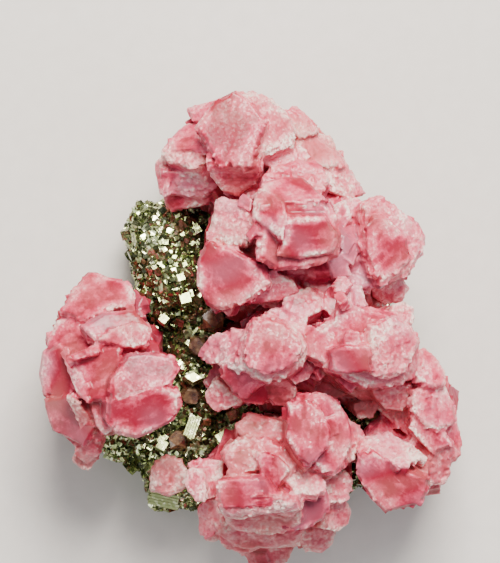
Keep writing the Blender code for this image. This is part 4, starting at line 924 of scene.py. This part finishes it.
# Rhodochrosite, as grown: glassy inside, with faces too finely stepped to mirror anything. The frosted
# parts scatter light at the surface, and the clear parts let it in and turn it deep rose.
rhodochrosite, tree, shader = new_material("rhodochrosite_as_grown")
# 'pale' holds the frosting, plus painted shade in creases and down the sides and a painted highlight on
# edges.
pale = add_node(tree, "ShaderNodeAttribute", {"attribute_name": "pale"}).outputs["Fac"]
tone = add_node(tree, "ShaderNodeAttribute", {"attribute_name": "tone"}).outputs["Fac"]
place = add_node(tree, "ShaderNodeTexCoord").outputs["Object"]
veils = add_node(tree, "ShaderNodeTexNoise", Vector=place, Scale=1 / (VEIL_SIZE * MM), Detail=6.0,
                 Roughness=0.72)
sugar = add_node(tree, "ShaderNodeTexVoronoi", Vector=place, Scale=1 / (FINEST_SIZE * MM))
veiled = add_node(tree, "ShaderNodeMath", {"operation": "MULTIPLY_ADD"},
                  _0=veils.outputs["Fac"], _1=VEIL_CONTRAST, _2=-VEIL_CONTRAST / 2)
grained = add_node(tree, "ShaderNodeMath", {"operation": "MULTIPLY_ADD"},
                   _0=sugar.outputs["Color"], _1=SUGAR_CONTRAST, _2=-SUGAR_CONTRAST / 2)
sugared = add_node(tree, "ShaderNodeMath", {"operation": "MULTIPLY"}, _0=grained.outputs[0], _1=pale)
uneven = add_node(tree, "ShaderNodeMath", {"operation": "ADD"}, _0=veiled.outputs[0], _1=sugared.outputs[0])
frost_and_painted_light = add_node(tree, "ShaderNodeMath", {"operation": "ADD"}, _0=pale, _1=uneven.outputs[0]).outputs[0]
toned = add_node(tree, "ShaderNodeValToRGB", stops=CRYSTAL_PINKS, Fac=frost_and_painted_light).outputs["Color"]
for colour, share in ((CRYSTAL_BROWN, TONE_SHARE), (CRYSTAL_LILAC, -TONE_SHARE)):
    much = add_node(tree, "ShaderNodeMath", {"operation": "MULTIPLY", "use_clamp": True}, _0=tone, _1=share)
    toned = add_node(tree, "ShaderNodeMix", {"data_type": "RGBA"},
                     _0=much.outputs[0], _6=toned, _7=linear(colour)).outputs[2]
tree.links.new(toned, shader.inputs["Base Color"])
gloss = add_node(tree, "ShaderNodeMapRange", Value=frost_and_painted_light,
                 From_Min=0.1, From_Max=0.9, To_Min=ROUGHNESS[0], To_Max=ROUGHNESS[1])
tree.links.new(gloss.outputs[0], shader.inputs["Roughness"])
crusted = add_node(tree, "ShaderNodeMapRange", Value=frost_and_painted_light,
                   From_Min=0.2, From_Max=0.9, To_Min=CRUST_TILT[0], To_Max=CRUST_TILT[1])
turned = add_node(tree, "ShaderNodeVectorMath", {"operation": "SUBTRACT"},
                  _0=sugar.outputs["Color"], _1=(0.5, 0.5, 0.5))
tilted = add_node(tree, "ShaderNodeVectorMath", {"operation": "SCALE"},
                  _0=turned.outputs[0], Scale=crusted.outputs[0])
flat = add_node(tree, "ShaderNodeNewGeometry").outputs["Normal"]
facets = add_node(tree, "ShaderNodeVectorMath", {"operation": "ADD"}, _0=flat, _1=tilted.outputs[0])
facets = add_node(tree, "ShaderNodeVectorMath", {"operation": "NORMALIZE"}, _0=facets.outputs[0])
tree.links.new(facets.outputs[0], shader.inputs["Normal"])
shader.inputs["IOR"].default_value = 1.6
shader.inputs["Specular IOR Level"].default_value = 0.32
shader.inputs["Subsurface Weight"].default_value = 0.40
shader.inputs["Subsurface Radius"].default_value = (1.0, 0.30, 0.32)
shader.inputs["Subsurface Scale"].default_value = 0.8 * MM

GROUP_NODES = {
    "crown": "rhodochrosite_cluster",
    "heart": "rhodochrosite_cluster",
    "girdle": "rhodochrosite_cluster",
    "flank": "rhodochrosite_cluster",
    "foot": "rhodochrosite_cluster",
    "rosette": "rhodochrosite_rosette",
    "lone": "rhodochrosite_lone_crystal",
}
for name, node in GROUP_NODES.items():
    piece = add_piece(grow_group(name), f"rhodochrosite_{name}_skin")
    fuse(piece, SKIN_VOXEL)
    thin(piece, FACES_KEPT)
    sculpt(piece, name)
    piece.data.materials.append(rhodochrosite)
    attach(piece, "root")
    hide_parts(node)

# ---- Pyrite matrix -------------------------------------------------------------------------------------
# Fine-grained pyrite, brassy iron sulphide, which the other minerals grew on. Its whole surface is a crust
# of tiny cubes. The plate was broken off the wall of its vein, and it lies on the break.
CRUST_VOXEL = 0.70
CRUST_SPACING = 0.72         # between the middles of the crust's cubes
CRUST_SIZE = (0.35, 1.0)
CRUST_SMALLER = 1.3          # a power of the size, which makes most of the cubes small
CRUST_LIFT = 0.15            # of a cube's size, that its middle stands out of the matrix
LARGER_EVERY = 30            # cubes, one is twice as large
ALIKE_SHARE = 0.22           # of the cubes, that are turned alike as crystals grown over one older one are
ALIKE_FACING = Vector((0.07, 0.33, 0.94))
ALIKE_UNEVEN, UNEVEN = 0.12, 0.5     # how unevenly those cubes and the others are turned, in radians
CRUST_GRAINS = (2.2, 1.0)    # the uneven surface that the crust grew on, in two sizes, and their relief
CRUST_RELIEF = (0.35, 0.15)
CRUST_SINK = -0.35           # of that surface under the plain one, and deeper still under the large crystals
LARGE_SINK = -0.8
PATCH = 4.0                  # of brighter and duller pyrite
GRAIN = 0.6
# The palest colour is partly a painted glint, and the darkest partly a painted dark reflection.
PYRITE_PALE_BRASS_AND_GLINT = "#EEF2D2"
PYRITE_BRASS = "#9BA673"
PYRITE_OLIVE_TARNISH_AND_DARK_REFLECTION = "#1C2414"


def copy_node(name, voxel):
    """A CAD node's shape as a skin of its own, with its points a voxel apart."""
    bm = bmesh.new()
    bm.from_mesh(bpy.data.objects[name].data)
    bmesh.ops.remove_doubles(bm, verts=bm.verts, dist=0.001 * MM)
    piece = new_object(f"{name}_skin", new_mesh(bm, f"{name}_skin"))
    fuse(piece, voxel)
    return piece


def pyrite_material(name, rough, relief, low, high):
    """Pyrite's metal, tarnished unevenly: pale brass where it is bright, olive where it is dull. The palest
    brass is partly a painted glint, and the darkest olive partly a painted dark reflection, in random
    patches and grains.
    """
    made, tree, shader = new_material(name)
    place = add_node(tree, "ShaderNodeTexCoord").outputs["Object"]
    patches = add_node(tree, "ShaderNodeTexNoise", Vector=place, Scale=1 / (PATCH * MM), Detail=4.0,
                       Roughness=0.7)
    grains = add_node(tree, "ShaderNodeTexVoronoi", Vector=place, Scale=1 / (GRAIN * MM))
    mixed = add_node(tree, "ShaderNodeMath", {"operation": "MULTIPLY_ADD"},
                     _0=grains.outputs["Color"], _1=0.6, _2=patches.outputs["Fac"])
    shade = add_node(tree, "ShaderNodeMapRange", Value=mixed.outputs[0], From_Min=0.45, From_Max=1.15)
    shade = shade.outputs[0]
    brass = add_node(tree, "ShaderNodeValToRGB", stops=[(0.0, low), (0.55, PYRITE_BRASS), (1.0, high)],
                     Fac=shade)
    tree.links.new(brass.outputs["Color"], shader.inputs["Base Color"])
    bump = add_node(tree, "ShaderNodeBump", Height=grains.outputs["Distance"], Distance=relief * MM,
                    Strength=0.7)
    tree.links.new(bump.outputs[0], shader.inputs["Normal"])
    gloss = add_node(tree, "ShaderNodeMapRange", Value=shade, To_Min=rough[0], To_Max=rough[1])
    tree.links.new(gloss.outputs[0], shader.inputs["Roughness"])
    shader.inputs["Metallic"].default_value = 0.95
    return made


def scatter(piece, spacing, seed):
    """Evenly scattered places on the upper and outer surface of a piece, with their normals."""
    mesh = piece.data
    mesh.calc_loop_triangles()
    corners = np.empty(len(mesh.loop_triangles) * 3, np.int64)
    mesh.loop_triangles.foreach_get("vertices", corners)
    a, b, c = read(mesh, "co")[corners].reshape(-1, 3, 3).transpose(1, 0, 2)
    across = np.cross(b - a, c - a)
    area = np.linalg.norm(across, axis=1) / 2
    draw = np.random.default_rng(seed)
    chosen = draw.choice(len(area), round(area.sum() / spacing ** 2), p=area / area.sum())
    u, v = draw.random((2, len(chosen), 1))
    u, v = np.where(u + v > 1, 1 - u, u), np.where(u + v > 1, 1 - v, v)
    places = a[chosen] + u * (b - a)[chosen] + v * (c - a)[chosen]
    normals = across[chosen] / (2 * area[chosen, None])
    kept = (normals[:, 2] > -0.7) & (places[:, 2] > 1.0)
    return places[kept], normals[kept]


# The larger cubes and the long striated crystals of pyrite, each grown out of the crust. A long one is a
# bundle of parallel blades, which leave the grooves along it.
CUBES = [
    ((-11.6, 5.3, 24.2), 2.0, (-19, 4, 15)),
    ((-16.0, -21.6, 15.0), 1.9, (-20, 2, 60)),
    ((-5.0, -20.0, 18.7), 2.1, (-16, 6, 35)),
    ((-18.0, -26.2, 12.4), 1.9, (25, 15, 40)),
    ((-3.2, -16.1, 18.9), 1.9, (-21, 7, 20)),
    ((-16.5, 13.6, 22.4), 1.7, (-14, 40, 25)),
    ((-15.5, 1.5, 20.2), 1.6, (-22, -1, 50)),
    ((22.4, -16.2, 18.6), 1.9, (-19, 5, 70)),
]
BARS = [
    ((-18.6, -31.0, 10.9), (-12.9, -32.3, 10.9), 2.6, 0),
    ((-11.2, -20.2, 18.4), (-9.6, -15.7, 18.8), 2.2, 17),
]
TABLET = ((-12.4, -8.8, 20.7), (-8.0, -9.2, 20.6), 1.6, 17)      # its two points, and its thickness
BLADES = 5                   # in a long crystal
NEIGHBOUR_SIZE = 0.7         # of a cube's edge, the smaller cube that is grown into its side
NEIGHBOUR_PLACE = (0.55, 0.4, -0.25)         # of its edge, along the cube's own edges
CRYSTAL_BEVEL = 0.07
LARGE = [(Vector(middle), edge * 0.75) for middle, edge, _ in CUBES]
LARGE += [((Vector(start) + Vector(end)) / 2, (Vector(end) - Vector(start)).length * 0.5)
          for start, end, _, _ in [*BARS, TABLET]]


def lie_between(start, end, facing):
    """The length, the middle and the turn of a crystal that lies between two places, with its upper side
    turned so many degrees towards the top of the specimen."""
    along = Vector(end) - Vector(start)
    turn = Matrix.Rotation(math.radians(-facing), 3, "X") @ along.to_track_quat("X", "Z").to_matrix()
    return along.length, (Vector(start) + Vector(end)) / 2, turn


def grow_bar(bm, draw, start, end, thickness, facing):
    """A long crystal, as a bundle of parallel blades side by side, none quite as long as the next."""
    length, middle, turn = lie_between(start, end, facing)
    wide = thickness / BLADES
    for number in range(BLADES):
        beside = (number - (BLADES - 1) / 2) * wide
        offset = turn @ Vector((draw.uniform(-0.2, 0.2), beside, draw.uniform(-0.12, 0.12)))
        sizes = (length * draw.uniform(0.88, 1.0), wide * 1.06, thickness * 0.8)
        placing = Matrix.Translation(middle + offset) @ (turn @ Matrix.Diagonal(sizes)).to_4x4()
        bmesh.ops.create_cube(bm, matrix=placing)


def grow_tablet(bm, start, end, thickness, facing):
    """A lozenge-shaped tablet with sloping edges, with its two sharp corners at the places given."""
    length, middle, turn = lie_between(start, end, facing)
    placing = Matrix.Translation(middle) @ turn.to_4x4() @ Matrix.Diagonal((1, 0.6, 1, 1))
    bmesh.ops.create_cone(bm, segments=4, radius1=length / 2, radius2=length * 0.38, depth=thickness,
                          cap_ends=True, matrix=placing)


matrix = copy_node("pyrite_matrix", CRUST_VOXEL)
places, normals = read(matrix.data, "co"), read(matrix.data, "normal")
inner = step(places[:, 2], 0.2, 1.5)
coarse, fine = (relief * mosaic(places, size, number)
                for number, size, relief in zip((3, 4), CRUST_GRAINS, CRUST_RELIEF))
sunk = coarse + fine + CRUST_SINK
for middle, reach in LARGE:
    sunk = np.where(np.linalg.norm(places - np.array(middle), axis=1) < reach, LARGE_SINK, sunk)
places += normals * (inner * sunk)[:, None]
write_places(matrix.data, places)
fine_grained = pyrite_material("pyrite_fine_grained", (0.45, 0.2), 0.08, PYRITE_OLIVE_TARNISH_AND_DARK_REFLECTION, PYRITE_PALE_BRASS_AND_GLINT)
matrix.data.materials.append(fine_grained)
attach(matrix, "root")
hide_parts("pyrite_matrix")

bm = bmesh.new()
draw = random.Random(5)
for middle, edge, (about_x, about_y, spin) in CUBES:
    turn = Matrix.Identity(3)
    for degrees, axis in ((spin, "Z"), (about_x, "X"), (about_y, "Y")):
        turn = Matrix.Rotation(math.radians(degrees), 3, axis) @ turn
    neighbour = Vector(middle) + turn @ Vector(NEIGHBOUR_PLACE) * edge
    for place, size in ((middle, edge), (neighbour, edge * NEIGHBOUR_SIZE)):
        bmesh.ops.create_cube(bm, size=size, matrix=Matrix.Translation(place) @ turn.to_4x4())
for bar in BARS:
    grow_bar(bm, draw, *bar)
grow_tablet(bm, *TABLET)
bmesh.ops.bevel(bm, geom=bm.edges, offset=CRYSTAL_BEVEL, segments=1, profile=0.5, affect="EDGES",
                material=-1)
crystals = add_piece(bm, "pyrite_crystals")
polished = pyrite_material("pyrite_polished_by_growth", (0.34, 0.2), 0.02, PYRITE_BRASS, PYRITE_PALE_BRASS_AND_GLINT)
crystals.data.materials.append(polished)
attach(crystals, "root")
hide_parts("pyrite_matrix")

# The crust of tiny pyrite cubes, each half sunk in the matrix and turned its own way.
grain = bmesh.new()
bmesh.ops.create_cube(grain, size=1.0)
grain = new_mesh(grain, "grain")
bm = bmesh.new()
draw = random.Random(11)
for place, normal in zip(*scatter(matrix, CRUST_SPACING, 12)):
    size = draw.uniform(*CRUST_SIZE) ** CRUST_SMALLER * draw.choices((1.0, 2.0), (LARGER_EVERY, 1))[0]
    alike = draw.random() < ALIKE_SHARE
    facing, uneven = (ALIKE_FACING, ALIKE_UNEVEN) if alike else (Vector(normal), UNEVEN)
    turn = facing.to_track_quat("Z", "Y").to_matrix() @ Matrix.Rotation(draw.uniform(0, math.tau), 3, "Z")
    for axis in "XY":
        turn = turn @ Matrix.Rotation(draw.gauss(0, uneven), 3, axis)
    placing = Matrix.Translation(Vector(place + normal * size * CRUST_LIFT))
    placing = placing @ (turn @ Matrix.Diagonal((size,) * 3)).to_4x4()
    if place[2] > size and all((Vector(place) - middle).length > reach for middle, reach in LARGE):
        grain.transform(placing)
        bm.from_mesh(grain)
        grain.transform(placing.inverted())
crust = add_piece(bm, "pyrite_crust")
glinting = pyrite_material("pyrite_crust_cubes", (0.22, 0.12), 0.02, PYRITE_OLIVE_TARNISH_AND_DARK_REFLECTION, PYRITE_PALE_BRASS_AND_GLINT)
crust.data.materials.append(glinting)
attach(crust, "root")
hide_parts("pyrite_matrix")

# ---- Sphalerite ----------------------------------------------------------------------------------------
# Brown zinc sulphide in four stubby crystals that sit in the pyrite. It has a resin's gloss, and light gets
# a little way in.
SPHALERITE_BROWNS = [(0.3, "#33231A"), (0.5, "#6B5038"), (0.75, "#A98A60")]
SPHALERITE_CLOUD = 1.2       # of the paler and darker clouds in it
SPHALERITES = 4

resin, tree, shader = new_material("sphalerite_resinous")
place = add_node(tree, "ShaderNodeTexCoord").outputs["Object"]
cloud = add_node(tree, "ShaderNodeTexNoise", Vector=place, Scale=1 / (SPHALERITE_CLOUD * MM), Detail=4.0)
brown = add_node(tree, "ShaderNodeValToRGB", stops=SPHALERITE_BROWNS, Fac=cloud.outputs["Fac"])
tree.links.new(brown.outputs["Color"], shader.inputs["Base Color"])
shader.inputs["Roughness"].default_value = 0.22
shader.inputs["IOR"].default_value = 2.37
for number in range(1, SPHALERITES + 1):
    crystal = bpy.data.objects[f"sphalerite_crystal_{number}"]
    crystal.material_slots[0].material = resin

# ---- Floor, lights and camera --------------------------------------------------------------------------
# A pale matt board under the specimen, which lies on its back, four soft lights round it, and the camera
# straight above it, a little over half a metre up.
CAMERA_HEIGHT = 625.0
CAMERA_PLACE = (0.09, 8.55)
VIEW_HEIGHT = 101.34         # of what the camera sees, at the height of the crystals' middle
CRYSTAL_HEIGHT = 25.0
SENSOR = 36.0
FLOOR_SIZE = 1200.0          # half its width
FIBRE = 3.0
BOARD_GREYS = [(0.0, "#DEDBD6"), (1.0, "#E9E6E1")]

bm = bmesh.new()
bmesh.ops.create_grid(bm, x_segments=1, y_segments=1, size=FLOOR_SIZE * MM)
floor = new_object("floor", new_mesh(bm, "floor"))
board, tree, shader = new_material("matt_board")
place = add_node(tree, "ShaderNodeTexCoord").outputs["Object"]
fibre = add_node(tree, "ShaderNodeTexNoise", Vector=place, Scale=1 / (FIBRE * MM), Detail=3.0)
shade = add_node(tree, "ShaderNodeValToRGB", stops=BOARD_GREYS, Fac=fibre.outputs["Fac"])
tree.links.new(shade.outputs["Color"], shader.inputs["Base Color"])
shader.inputs["Roughness"].default_value = 0.85
floor.data.materials.append(board)


def add_light(name, place, size, power, colour):
    """A square soft light of a size in metres and a power in watts, aimed at the middle of the specimen."""
    light = bpy.data.lights.new(name, "AREA")
    light.size = size
    light.energy = power
    light.color = linear(colour)[:3]
    lamp = new_object(name, light)
    lamp.location = place
    aim = Vector((0, 0, CRYSTAL_HEIGHT * MM)) - Vector(place)
    lamp.rotation_euler = aim.to_track_quat("-Z", "Y").to_euler()


add_light("key_light", (0.08, 0.38, 0.50), 0.32, 11.0, "#FFF6EC")
add_light("front_light", (-0.10, 0.02, 0.80), 0.70, 1.5, "#FFFFFF")
add_light("fill_light", (0.45, -0.12, 0.40), 0.40, 1.0, "#F3F6FF")
add_light("low_light", (-0.42, -0.25, 0.22), 0.36, 1.0, "#FFFFFF")
world = bpy.data.worlds.new("room")
world.use_nodes = True
world.node_tree.nodes["Background"].inputs["Color"].default_value = linear("#D9DCE2")
world.node_tree.nodes["Background"].inputs["Strength"].default_value = 0.10
bpy.context.scene.world = world

camera = bpy.data.cameras.new("camera")
camera.sensor_width = SENSOR
camera.lens = SENSOR * (CAMERA_HEIGHT - CRYSTAL_HEIGHT) / VIEW_HEIGHT
camera.clip_start = 0.01
eye = new_object("camera", camera)
eye.location = (Vector((*CAMERA_PLACE, CAMERA_HEIGHT)) - MIDDLE) * MM
bpy.context.scene.camera = eye
